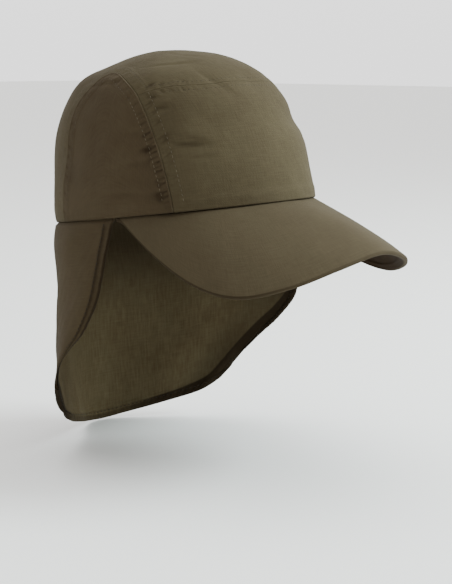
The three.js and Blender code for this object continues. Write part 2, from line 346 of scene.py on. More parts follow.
def mesh_object(
    name: str, points: Array, corners: Array, counts: Array, uv: Optional[Array], fields: dict[str, Array]
) -> bpy.types.Object:
    """Puts arrays into a new smooth-shaded mesh object.

    Args:
        name: The object's name.
        points: Vertices, one a row.
        corners: Vertex numbers of all faces in turn.
        counts: How many corners each face has.
        uv: UV of each vertex, or None.
        fields: Values of each vertex by attribute name.

    Returns:
        The object, linked to the scene.
    """
    mesh = bpy.data.meshes.new(name)
    mesh.vertices.add(len(points))
    mesh.vertices.foreach_set("co", points.astype(np.float32).ravel())
    mesh.loops.add(len(corners))
    mesh.loops.foreach_set("vertex_index", corners.astype(np.int32))
    mesh.polygons.add(len(counts))
    starts = np.concatenate([[0], np.cumsum(counts)[:-1]]).astype(np.int32)
    mesh.polygons.foreach_set("loop_start", starts)
    mesh.update(calc_edges=True)
    mesh.validate()
    mesh.polygons.foreach_set("use_smooth", np.ones(len(mesh.polygons), bool))
    if uv is not None:
        layer = mesh.uv_layers.new(name="cloth")
        layer.data.foreach_set("uv", uv[corners].astype(np.float32).ravel())
    for label, values in fields.items():
        attribute = mesh.attributes.new(label, "FLOAT", "POINT")
        attribute.data.foreach_set("value", values.astype(np.float32))
    mesh.update()
    made = bpy.data.objects.new(name, mesh)
    bpy.context.scene.collection.objects.link(made)
    return made


def tree_of(obj: bpy.types.Object) -> BVHTree:
    """Search tree of a mesh object, to set small pieces on its surface.

    Args:
        obj: The object.

    Returns:
        The tree over its faces.
    """
    mesh = obj.data
    points = np.empty(len(mesh.vertices) * 3, np.float32)
    mesh.vertices.foreach_get("co", points)
    return BVHTree.FromPolygons(points.reshape(-1, 3).tolist(), [tuple(p.vertices) for p in mesh.polygons])


def dress(
    obj: bpy.types.Object, material: bpy.types.Material, nodes: Sequence[str] = ()
) -> None:
    """Gives a piece its material, lets it ride on the body and reports it.

    Args:
        obj: The piece.
        material: Its material.
        nodes: The CAD nodes that it stands for, which are hidden.
    """
    obj.data.materials.clear()
    obj.data.materials.append(material)
    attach(obj, "root")
    if nodes:
        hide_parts(*nodes)
    log.info("%s: %d faces", obj.name, len(obj.data.polygons))


# Shader graph


class Socket:
    """An output socket whose arithmetic adds Math nodes."""

    def __init__(self, graph: "Graph", link: bpy.types.NodeSocket) -> None:
        """Wraps a node's output."""
        self.graph = graph
        self.link = link

    def math(self, operation: str, *values: "Socket | float") -> "Socket":
        """Result of one Math node on these values."""
        return self.graph.node("ShaderNodeMath", {"operation": operation}, dict(enumerate(values)))

    def __add__(self, other: "Socket | float") -> "Socket":
        """Sum."""
        return self.math("ADD", self, other)

    __radd__ = __add__

    def __sub__(self, other: "Socket | float") -> "Socket":
        """Difference."""
        return self.math("SUBTRACT", self, other)

    def __rsub__(self, other: "Socket | float") -> "Socket":
        """Difference with the socket taken away."""
        return self.math("SUBTRACT", other, self)

    def __mul__(self, other: "Socket | float") -> "Socket":
        """Product."""
        return self.math("MULTIPLY", self, other)

    __rmul__ = __mul__

    def sine(self) -> "Socket":
        """Sine of an angle in radians."""
        return self.math("SINE", self)

    def between(self, low: float, high: float) -> "Socket":
        """Smooth step from 0 at low to 1 at high."""
        inputs = {"Value": self, "From Min": low, "From Max": high}
        return self.graph.node("ShaderNodeMapRange", {"interpolation_type": "SMOOTHSTEP"}, inputs)


class Graph:
    """The node tree of a material or of the world, with its shader."""

    def __init__(self, owner: bpy.types.Material | bpy.types.World) -> None:
        """Turns the owner's nodes on and keeps its one shader.

        Args:
            owner: The material or the world.
        """
        owner.use_nodes = True
        self.owner = owner
        self.tree = owner.node_tree
        self.shader = next(n for n in self.tree.nodes if n.type in ("BSDF_PRINCIPLED", "BACKGROUND"))

    def node(
        self, kind: str, settings: dict[str, object], inputs: dict[int | str, object], output: int | str = 0
    ) -> Socket:
        """Adds a node.

        Args:
            kind: The node's type.
            settings: Its settings, set first.
            inputs: Values or links of its inputs, by name or number.
            output: The output to return, by name or number.

        Returns:
            That output.
        """
        made = self.tree.nodes.new(kind)
        for name, value in settings.items():
            setattr(made, name, value)
        self.feed(made, inputs)
        return Socket(self, made.outputs[output])

    def feed(self, node: bpy.types.Node, inputs: dict[int | str, object]) -> None:
        """Sets or links inputs of a node.

        Args:
            node: The node.
            inputs: Values or links, by the inputs' names or numbers.
        """
        for name, value in inputs.items():
            if isinstance(value, Socket):
                self.tree.links.new(value.link, node.inputs[name])
            else:
                node.inputs[name].default_value = value

    def place(self) -> Socket:
        """Object coordinates."""
        return self.node("ShaderNodeTexCoord", {}, {}, "Object")

    def mix(self, factor: Socket | float, low: object, high: object) -> Socket:
        """Colour between low and high by a factor."""
        return self.node("ShaderNodeMix", {"data_type": "RGBA"}, {0: factor, 6: low, 7: high}, 2)

    def noise(self, vector: Socket, scale: float, detail: float = 2.0, roughness: float = 0.5) -> Socket:
        """Noise texture's value."""
        inputs = {"Vector": vector, "Scale": scale, "Detail": detail, "Roughness": roughness}
        return self.node("ShaderNodeTexNoise", {}, inputs)

    def stretched(self, vector: Socket, across: float, along: float) -> Socket:
        """A vector scaled by different amounts across and along the cloth."""
        return self.node("ShaderNodeMapping", {}, {"Vector": vector, "Scale": (across, along, 1.0)})

    def attribute(self, name: str) -> Socket:
        """A point field of the piece."""
        return self.node("ShaderNodeAttribute", {"attribute_name": name}, {}, "Fac")


Colour = tuple[float, float, float, float]


def olive(red: float, green: float, blue: float) -> Colour:
    """An opaque linear colour."""
    return (red, green, blue, 1.0)


@dataclass(frozen=True)
class ClothFinish:
    """Close plain-weave cloth: threads, slubs, patchy dye, worn ridges, and painted shade in hollows and
    along edges.

    Colours are linear. UV coordinates run in centimetres of cloth.
    """

    name: str
    base: Colour  # half of the cloth's colour
    pale: Colour  # the other half runs from deep to pale
    deep: Colour
    worn: Colour  # on ridges and folds
    shadow: Colour  # painted shade in hollows and along edges
    inner_face_colours: Optional[tuple[Colour, Colour]] = None  # dark and pale of the inner face, where it differs
    pitch: float = 0.055  # from thread to thread, in centimetres
    weave: float = 0.35  # height of the threads
    slub: float = 0.5  # strength of the thick and thin yarn
    patch: float = 0.5  # strength of the patchy dye
    rough: float = 0.9
    relief: float = 0.16 * MM  # depth of the fine relief

    def build(self) -> bpy.types.Material:
        """Makes the material.

        The weave's height is sin(u) times sin(v) over the thread pitch, so crossing threads stand up
        in turn. Slubs are noise drawn out along each thread direction. Large noise in space makes the
        dye patchy. The field wear pulls the colour towards worn, and the field painted_shade pulls it
        towards shadow, which is painted shade.

        Returns:
            The material.
        """
        g = Graph(bpy.data.materials.new(self.name))
        uv = g.node("ShaderNodeUVMap", {"uv_map": "cloth"}, {})
        u, v = (g.node("ShaderNodeSeparateXYZ", {}, {0: uv}, axis) for axis in "XY")
        place = g.place()
        turns = math.pi / self.pitch
        threads = (u * turns).sine() * (v * turns).sine()
        warp = g.noise(g.stretched(uv, 11.0, 0.9), 1.0, 3.0, 0.6)
        weft = g.noise(g.stretched(uv, 0.8, 10.0), 1.0, 3.0, 0.6)
        fibre = g.noise(g.stretched(uv, 26.0, 26.0), 1.0, 2.0, 0.6)
        dye = g.noise(place, 26.0, 3.0, 0.55)
        cloud = g.noise(place, 9.0)
        yarn = (warp + weft - 1.0) * self.slub + (fibre - 0.5) * 0.5 * self.slub
        patches = (dye - 0.5) * self.patch + (cloud - 0.5) * self.patch
        tone = patches + yarn + threads * (0.16 * self.weave)
        colour = g.mix((tone + 0.5).between(0.0, 1.0), self.deep, self.pale)
        colour = g.mix(0.5, colour, self.base)
        rub = (g.attribute("wear") * (0.75 + 0.5 * fibre)).between(0.05, 1.0)
        colour = g.mix(rub, colour, self.worn)
        if self.inner_face_colours:
            drawn_out = g.noise(g.stretched(uv, 7.0, 0.7), 1.0, 2.0, 0.6)
            crossing = g.noise(g.stretched(uv, 0.8, 8.0), 1.0)
            stain = g.noise(place, 30.0, 4.0, 0.62) * 0.42 + drawn_out * 0.5 + crossing * 0.22
            inner_face_colours = g.mix((stain + yarn * 0.4).between(0.25, 0.89), *self.inner_face_colours)
            colour = g.mix(g.attribute("inside"), colour, inner_face_colours)
        # painted shade: the colour goes towards shadow where the painted_shade field is high
        hollow_shade = g.attribute("painted_shade").between(0.0, 1.0) * 0.9
        height = threads * self.weave + yarn * 1.2 + (dye - 0.5) * 0.4
        relief = {"Strength": 0.8, "Distance": self.relief, "Height": height}
        looks = {
            "Base Color": g.mix(hollow_shade, colour, self.shadow),
            "Roughness": self.rough + (fibre - 0.5) * 0.08 + tone * 0.04,
            "Normal": g.node("ShaderNodeBump", {}, relief),
            "Specular IOR Level": 0.1,
        }
        g.feed(g.shader, looks)
        return g.owner


@dataclass(frozen=True)
class ThreadFinish:
    """Sewing thread: slightly glossy, with a twist that darkens between its plies."""

    name: str
    colour: Colour
    dark: Colour

    def build(self) -> bpy.types.Material:
        """Makes the material: fine noise in space breaks the thread's colour.

        Returns:
            The material.
        """
        g = Graph(bpy.data.materials.new(self.name))
        fuzz = g.noise(g.place(), 1800.0, 2.0, 0.6)
        run = g.noise(g.place(), 60.0)
        looks = {
            "Base Color": g.mix((fuzz * 0.6 + run * 0.4).between(0.3, 0.7), self.dark, self.colour),
            "Roughness": 0.62 + (fuzz - 0.5) * 0.2,
            "Specular IOR Level": 0.2,
        }
        g.feed(g.shader, looks)
        return g.owner


@dataclass(frozen=True)
class FloorFinish:
    """Pale matt studio floor."""

    colour: Colour = (0.88, 0.88, 0.88, 1.0)

    def build(self) -> bpy.types.Material:
        """Makes the material, with a faint noise in its roughness.

        Returns:
            The material.
        """
        g = Graph(bpy.data.materials.new("studio_floor"))
        uneven = 0.85 + (g.noise(g.place(), 3.0) - 0.5) * 0.1
        g.feed(g.shader, {"Base Color": self.colour, "Roughness": uneven, "Specular IOR Level": 0.1})
        return g.owner


# Crown


@dataclass(frozen=True)
class CrownForm:
    """The crown's outer face as a function of turn and level, 0 at the rim and 1 at the top.

    A superellipse whose front, back, side and height follow section tables, on a slanted rim plane.
    The disc coordinates (a, b) put the top at the middle and the rim on the unit circle.
    """

    half_length: float = 98.4 * MM
    half_width: float = 83.4 * MM
    height: float = 115.2 * MM
    wall: float = 1.6 * MM
    top_shift: float = 6.5 * MM  # how far back the top lies
    rim_tilt: float = 7.8  # fall of the rim towards the back, in degrees
    roundness: float = 2.15  # power of the superellipse
    # section tables from the rim to the top, as shares: rise, and reach to the front, back and side
    rise: Column = (0, 0.16, 0.335, 0.513, 0.688, 0.815, 0.902, 0.972, 1)
    front: Column = (1, 0.958, 0.905, 0.823, 0.726, 0.609, 0.489, 0.291, 0)
    back: Column = (1, 1.035, 1.048, 1.036, 0.965, 0.83, 0.587, 0.302, 0)
    side: Column = (1, 1.001, 0.982, 0.938, 0.854, 0.73, 0.541, 0.295, 0)
    # turn, level, half size across in degrees, half size along, slope, depth as a share of the height
    dents: Table = (
        (36, 0.4, 24, 0.05, 0.0008, 0.015), (38, 0.28, 26, 0.08, 0, -0.013),
        (-27, 0.6, 11, 0.05, -0.0095, 0.006), (-49, 0.3, 12, 0.045, -0.0006, 0.009),
        (-73, 0.34, 12, 0.05, -0.0012, 0.01), (-70, 0.15, 13, 0.05, 0.0015, 0.011),
        (-112, 0.3, 16, 0.07, 0.003, 0.012), (72, 0.27, 13, 0.055, 0.0015, 0.013),
        (118, 0.36, 17, 0.07, -0.003, 0.013), (168, 0.24, 20, 0.06, 0.001, 0.014),
    )

    @property
    def rim_slope(self) -> float:
        """Fall of the rim plane for each metre towards the back."""
        return math.tan(math.radians(self.rim_tilt))

    def form(self, turn: Array, level: Array) -> Array:
        """Outer face without dents: each level's superellipse, scaled by the section tables.

        Args:
            turn: Turns in degrees.
            level: Levels.

        Returns:
            Points in space.
        """
        ahead, aside = oval(turn, self.roundness)
        front, back, side = (blend(column, level) for column in (self.front, self.back, self.side))
        rise = blend(self.rise, level, mirror_end=True)
        reach = self.half_length * np.where(ahead > 0, front, back)
        y = self.top_shift * (1 - (front + back) / 2) - reach * ahead
        z = self.height * rise - self.rim_slope * y * (1 - rise)
        return np.stack([self.half_width * side * aside, y, z], -1)

    def above_rim(self, points: Array) -> Array:
        """Height of points above the rim plane."""
        return points[..., 2] + self.rim_slope * points[..., 1]

    @staticmethod
    def from_disc(disc: Array) -> tuple[Array, Array]:
        """Turn and level of disc coordinates."""
        a, b = disc[..., 0], disc[..., 1]
        return np.degrees(np.arctan2(a, -b)), 1 - np.hypot(a, b)

    @staticmethod
    def to_disc(turn: Array, level: Array) -> Array:
        """Disc coordinates of a turn and a level."""
        angle = np.radians(turn)
        return np.stack([np.sin(angle) * (1 - level), -np.cos(angle) * (1 - level)], -1)

    def at(self, disc: Array) -> Array:
        """Outer face without dents at disc coordinates."""
        return self.form(*self.from_disc(disc))

    def normals(self, disc: Array) -> Array:
        """Outward normals: the cross product of the face's differences along both disc axes.

        Args:
            disc: Disc coordinates, taken a little further in where they lie on the rim.

        Returns:
            Normals of length 1.
        """
        step = 1e-3
        reach = np.maximum(np.hypot(disc[..., 0], disc[..., 1]), 1e-9)
        kept = disc * np.minimum(1, (1 - 4 * step) / reach)[..., None]
        over_a = self.at(kept + [step, 0]) - self.at(kept - [step, 0])
        over_b = self.at(kept + [0, step]) - self.at(kept - [0, step])
        return unit(np.cross(over_a, over_b))

    def pressed(
        self, turn: Array, level: Array, dents: Sequence[Sequence[float]], sharp: bool = False
    ) -> Array:
        """Depth of a table of dents over turn and level, fading out at the rim and the top.

        A dent is a bell curve both ways. A sharp one is a crease: it keeps its depth along its
        length, and the cloth stands up in a softer ridge above it.

        Args:
            turn: Turns in degrees.
            level: Levels.
            dents: The table.
            sharp: Whether its rows are creases.

        Returns:
            Depth in metres.
        """
        faded = np.sqrt(np.maximum(np.sin(np.pi * np.clip(level, 0, 1)), 0))
        depth = np.zeros(np.broadcast(turn, level).shape)
        for at_turn, at_level, across, along, slope, size in dents:
            aside = (turn - at_turn + 180) % 360 - 180
            off = (level - at_level - slope * aside) / along
            if sharp:
                shape = np.exp(-(np.abs(aside / across) ** 3)) * valley(off, 1, 0.55, 1.9, 1.5)
            else:
                shape = hump(aside, 0, across) * hump(off, 0, 1)
            depth += faded * self.height * size * shape
        return depth


@dataclass
class Seams:
    """Routes of the crown's seams, as disc coordinates and as points on the left half (+X)."""

    form: CrownForm
    # seen from the side: share of the half length towards the back, share of the height
    arch_route: tuple[tuple[float, float], ...] = (
        (-0.56, -0.08),
        (-0.55, 0.07),
        (-0.52, 0.19),
        (-0.45, 0.37),
        (-0.37, 0.51),
        (-0.26, 0.65),
        (-0.12, 0.763),
        (0.11, 0.848),
        (0.24, 0.84),
        (0.35, 0.75),
        (0.43, 0.65),
        (0.46, 0.53),
        (0.475, 0.35),
        (0.48, 0.1),
        (0.48, -0.2),
    )
    brow_start: float = 0.375  # share of the arch at which the brow seam leaves it
    brow_route: tuple[tuple[float, float], ...] = (
        (-0.26, 0.757),
        (-0.37, 0.783),
        (-0.51, 0.795),
        (-0.62, 0.815),
        (-0.85, 0.83),
    )

    def __post_init__(self) -> None:
        """Works out the routes on the crown."""
        size = np.array([self.form.half_length, self.form.height])
        arch = spline(np.array(self.arch_route) * size, 1201)
        meet = arch[round(self.brow_start * 1200)]
        above = arch[:, 1] + self.form.rim_slope * arch[:, 0]
        inside = np.flatnonzero(above > 0)
        joint = int(np.argmin(np.linalg.norm(arch - meet, axis=1)))
        ends = [self._rim_crossing(arch, above, inside[0] - 1), self._rim_crossing(arch, above, inside[-1])]
        first = self._lifted(np.vstack([ends[:1], arch[inside[0] : joint + 1]]))
        second = self._lifted(np.vstack([arch[joint : inside[-1] + 1], ends[1:]]))
        self.lower_arch = self._on_rim(first, 0)
        self.upper_arch = self._on_rim(second, -1)
        self.upper_arch[0] = self.lower_arch[-1]
        self.arch = np.vstack([self.lower_arch, self.upper_arch[1:]])
        self.brow = self._brow(spline(np.vstack([meet[None], np.array(self.brow_route) * size]), 800))

    @staticmethod
    def _rim_crossing(route: Array, above: Array, index: int) -> Array:
        """Where the route crosses the rim plane between one of its points and the next."""
        share = above[index] / (above[index] - above[index + 1])
        return route[index] + share * (route[index + 1] - route[index])

    @staticmethod
    def _on_rim(disc: Array, index: int) -> Array:
        """The same route with one end put exactly on the rim."""
        disc[index] /= np.hypot(*disc[index])
        return disc

    def _lifted(self, route: Array) -> Array:
        """Disc coordinates on the left half whose points lie on a route seen from the side.

        A nearest point on a coarse grid starts a Newton iteration on the two coordinates y and z.

        Args:
            route: Points as y and z.

        Returns:
            Their disc coordinates.
        """
        turn, level = np.meshgrid(np.linspace(2, 178, 177), np.linspace(0, 0.99, 100))
        coarse = self.form.to_disc(turn.ravel(), level.ravel())
        seen = self.form.at(coarse)[:, 1:]
        disc = coarse[[int(np.argmin(((seen - spot) ** 2).sum(1))) for spot in route]]
        step = 1e-4
        for _ in range(12):
            here = self.form.at(disc)[:, 1:]
            over_a = (self.form.at(disc + [step, 0])[:, 1:] - here) / step
            over_b = (self.form.at(disc + [0, step])[:, 1:] - here) / step
            error = route - here
            size = over_a[:, 0] * over_b[:, 1] - over_a[:, 1] * over_b[:, 0]
            size = np.where(np.abs(size) < 1e-6, 1e-6, size)
            move_a = (error[:, 0] * over_b[:, 1] - error[:, 1] * over_b[:, 0]) / size
            move_b = (over_a[:, 0] * error[:, 1] - over_a[:, 1] * error[:, 0]) / size
            disc = disc + np.clip(np.stack([move_a, move_b], 1), -0.03, 0.03)
        return disc

    def _brow(self, route: Array) -> Array:
        """The seam over the front from the right junction to the left one.

        At each turn the level is found by halving the span in which the face crosses the route, and
        both ends are drawn to the junctions.

        Args:
            route: Points as y and z.

        Returns:
            Disc coordinates.
        """
        corner = float(self.form.from_disc(self.lower_arch[-1])[0])
        turn = np.linspace(-corner, corner, 401)
        order = np.argsort(route[:, 0])
        low, high = np.full_like(turn, 0.3), np.full_like(turn, 0.97)
        for _ in range(40):
            middle = (low + high) / 2
            spot = self.form.form(turn, middle)
            over = spot[:, 2] > np.interp(spot[:, 1], route[order, 0], route[order, 1])
            low, high = np.where(over, low, middle), np.where(over, middle, high)
        disc = self.form.to_disc(turn, (low + high) / 2)
        free = smooth(0.0, 0.25, 1 - np.abs(turn) / corner)[:, None]
        left_miss = disc[-1] - self.lower_arch[-1]
        right_miss = disc[0] - self.mirrored(self.lower_arch)[-1]
        return disc - np.where((turn > 0)[:, None], left_miss, right_miss) * (1 - free)

    @staticmethod
    def mirrored(disc: Array) -> Array:
        """The same route on the other half."""
        return disc * [-1, 1]


class SeamLine:
    """A seam as a polyline in space, for distances and places along it."""

    def __init__(self, form: CrownForm, disc: Array) -> None:
        """Spaces the seam evenly.

        Args:
            form: The crown's form.
            disc: The seam in disc coordinates.
        """
        points = form.at(disc)
        count = max(int(lengths(points)[-1] / (0.7 * MM)), 8)
        self.disc = along_length(disc, np.linspace(0, 1, count), points)
        self.points = form.at(self.disc)
        self.normals = form.normals(self.disc)
        self.run = lengths(self.points)
        self.way = unit(np.gradient(self.points, axis=0))

    def near(self, points: Array) -> tuple[Array, Array]:
        """Distance to the seam and place along it.

        The two stretches beside the nearest of the seam's points give the exact foot.

        Args:
            points: Points in space.

        Returns:
            The distance and the place along the seam of each point.
        """
        flat = points.reshape(-1, 3)
        best = nearest(flat, self.points)[0]
        distance = np.full(len(flat), np.inf)
        place = np.zeros(len(flat))
        for shift in (-1, 0):
            i = np.clip(best + shift, 0, len(self.points) - 2)
            a, b = self.points[i], self.points[i + 1]
            stretch = b - a
            t = np.clip(((flat - a) * stretch).sum(1) / (stretch**2).sum(1), 0, 1)
            gap = np.linalg.norm(flat - a - t[:, None] * stretch, axis=1)
            closer = gap < distance
            distance = np.where(closer, gap, distance)
            place = np.where(closer, self.run[i] + t * np.linalg.norm(stretch, axis=1), place)
        shape = points.shape[:-1]
        return distance.reshape(shape), place.reshape(shape)


@dataclass(frozen=True)
class SeamSide:
    """Relief of the cloth on one side of a seam, as lengths from the seam and heights."""

    band: float  # the seam allowance under the cloth ends this far from the seam
    rise: float  # how far it lifts the cloth
    ridge: float  # extra height of the folded edge
    groove: float  # depth of the stitched row
    edge: float = 0.5 * MM  # radius of the rounded edge
    rub: float = 0.2  # wear along the fold

    @property
    def row(self) -> float:
        """Distance of the stitched row from the seam."""
        return self.band - 0.2 * MM

    def height(self, distance: Array) -> Array:
        """Raised band that ends in a soft step at the stitched row, a ridge along the fold and a
        rounded edge.

        Args:
            distance: Distances from the seam.

        Returns:
            Heights.
        """
        raised = self.rise * (1 - smooth(self.band - 0.4 * MM, self.band + 2.4 * MM, distance))
        fold = self.ridge * hump(distance, 0.8 * MM, 0.55 * MM)
        stitched = self.groove * hump(distance, self.row, 0.6 * MM)
        return raised + fold - stitched - lip(distance, self.edge)


@dataclass(frozen=True)
class Puckers:
    """Small gathers that cross a seam's band, and longer wrinkles that run on from some of them.

    Each row is the place along the seam, the depth, the half width, the slant, the reach and how
    far a longer wrinkle runs on, 0 for none.
    """

    rows: Table

    @classmethod
    def scattered(
        cls, seed: int, start: float, end: float, pitch: float, depth: float, reach: float, slant: float
    ) -> "Puckers":
        """Puckers at uneven places.

        Args:
            seed: Seed of the places and sizes.
            start: Where along the seam they start.
            end: Where they end.
            pitch: Mean distance from one to the next.
            depth: Greatest depth.
            reach: How far they run from the seam.
            slant: How far they move along the seam for each metre away from it.

        Returns:
            The puckers.
        """
        rng = np.random.default_rng(seed)
        count = max(int((end - start) / pitch), 1)
        spots = start + (np.arange(count) + rng.uniform(0.15, 0.85, count)) * pitch
        rows = []
        for spot in spots:
            size = depth * rng.uniform(0.35, 1.0)
            half = rng.uniform(0.9, 1.35) * MM
            way = slant + rng.uniform(-0.12, 0.12)
            far = reach * rng.uniform(0.8, 1.1)
            runs_on = rng.uniform() < 0.3
            run_on = rng.uniform(14, 24) * MM if runs_on else 0.0
            rows.append((float(spot), size, half, way, far, run_on))
        return cls(tuple(rows))

    def height(self, distance: Array, place: Array) -> Array:
        """Sum of narrow valleys across the seam, each with a low ridge beside it, that fade out at
        their reach.

        Args:
            distance: Distances from the seam.
            place: Places along it.

        Returns:
            Heights, below 0 in the valleys.
        """
        total = np.zeros(distance.shape)
        for spot, depth, half, slant, reach, run_on in self.rows:
            off = (place - spot - slant * distance) / (half * (1 + distance / (9 * MM)))
            fade = smooth(0.3 * MM, 2.2 * MM, distance) * (1 - smooth(0.7 * reach, 1.15 * reach, distance))
            total -= depth * fade * valley(off, 1, 0.5, 1.8, 1.2)
            if run_on:
                fade = smooth(2 * MM, 7 * MM, distance) * (1 - smooth(0.35 * run_on, run_on, distance))
                total -= 0.7 * depth * fade * valley(off, 1.8, 0.4, 3.2, 2.4)
        return total


# Gathers beside the right seam, up from the rim, on the side panel and on the front: place, depth, half
# width, slant, reach and run of the wrinkle beyond, in millimetres but for the slant.
SIDE_GATHERS = (
    (4.0, 0.2, 0.8, -0.03, 6.0, 0), (7.9, 0.35, 0.8, -0.1, 7.0, 0),
    (12.0, 0.6, 0.9, -0.16, 9.4, 20), (15.1, 0.7, 1.0, -0.1, 9.8, 28),
    (17.9, 0.45, 0.8, -0.03, 7.4, 0), (21.0, 0.66, 0.9, -0.14, 8.4, 16),
    (24.3, 0.55, 1.0, -0.09, 9.2, 20), (26.6, 0.42, 0.7, 0.0, 7.0, 0),
    (29.8, 0.6, 0.8, -0.1, 7.8, 12), (32.6, 0.46, 0.8, -0.03, 8.2, 14),
    (36.0, 0.6, 0.9, -0.12, 7.6, 0), (39.2, 0.5, 0.8, -0.03, 8.4, 18),
    (43.0, 0.64, 0.9, -0.1, 8.6, 0), (46.6, 0.75, 1.1, -0.05, 9.8, 26),
    (49.8, 0.55, 0.9, -0.14, 8.8, 22), (53.0, 0.6, 0.9, -0.02, 8.0, 0),
    (57.4, 0.6, 1.0, -0.07, 9.2, 20), (61.0, 0.4, 0.8, 0.03, 7.4, 0),
    (65.2, 0.46, 0.9, -0.03, 8.0, 12), (69.4, 0.32, 0.8, 0.03, 7.0, 0),
    (73.0, 0.3, 0.8, -0.03, 7.0, 0),
)
FRONT_GATHERS = (
    (9.0, 0.14, 0.8, 0.1, 7.0, 0), (13.4, 0.2, 0.7, -0.1, 7.6, 0),
    (17.6, 0.28, 0.7, 0.25, 8.0, 0), (21.4, 0.2, 0.7, 0.1, 8.6, 0),
    (26.0, 0.28, 0.7, -0.35, 8.6, 0), (30.2, 0.2, 0.7, 0.2, 8.0, 0),
    (33.4, 0.3, 0.8, 0.0, 8.8, 10), (36.6, 0.3, 0.7, 0.3, 8.4, 12),
    (40.2, 0.24, 0.7, 0.12, 8.2, 0), (43.0, 0.34, 0.8, -0.05, 8.4, 0),
    (46.2, 0.32, 0.8, 0.25, 8.8, 18), (50.2, 0.42, 1.0, 0.1, 9.8, 24),
    (53.4, 0.28, 0.7, 0.3, 8.2, 0), (56.8, 0.32, 0.8, 0.0, 8.0, 0),
    (59.4, 0.3, 0.7, 0.2, 8.6, 12), (62.8, 0.34, 0.8, 0.05, 8.2, 12),
    (66.2, 0.24, 0.7, 0.25, 8.0, 0), (69.0, 0.3, 0.8, 0.1, 8.4, 10),
    (72.8, 0.26, 0.8, 0.2, 8.4, 0), (76.0, 0.32, 0.8, 0.1, 8.6, 10),
)


def in_metres(rows: Sequence[Sequence[float]]) -> Puckers:
    """Puckers from a table in millimetres."""
    return Puckers(tuple((p * MM, d * MM, h * MM, slant, r * MM, on * MM) for p, d, h, slant, r, on in rows))


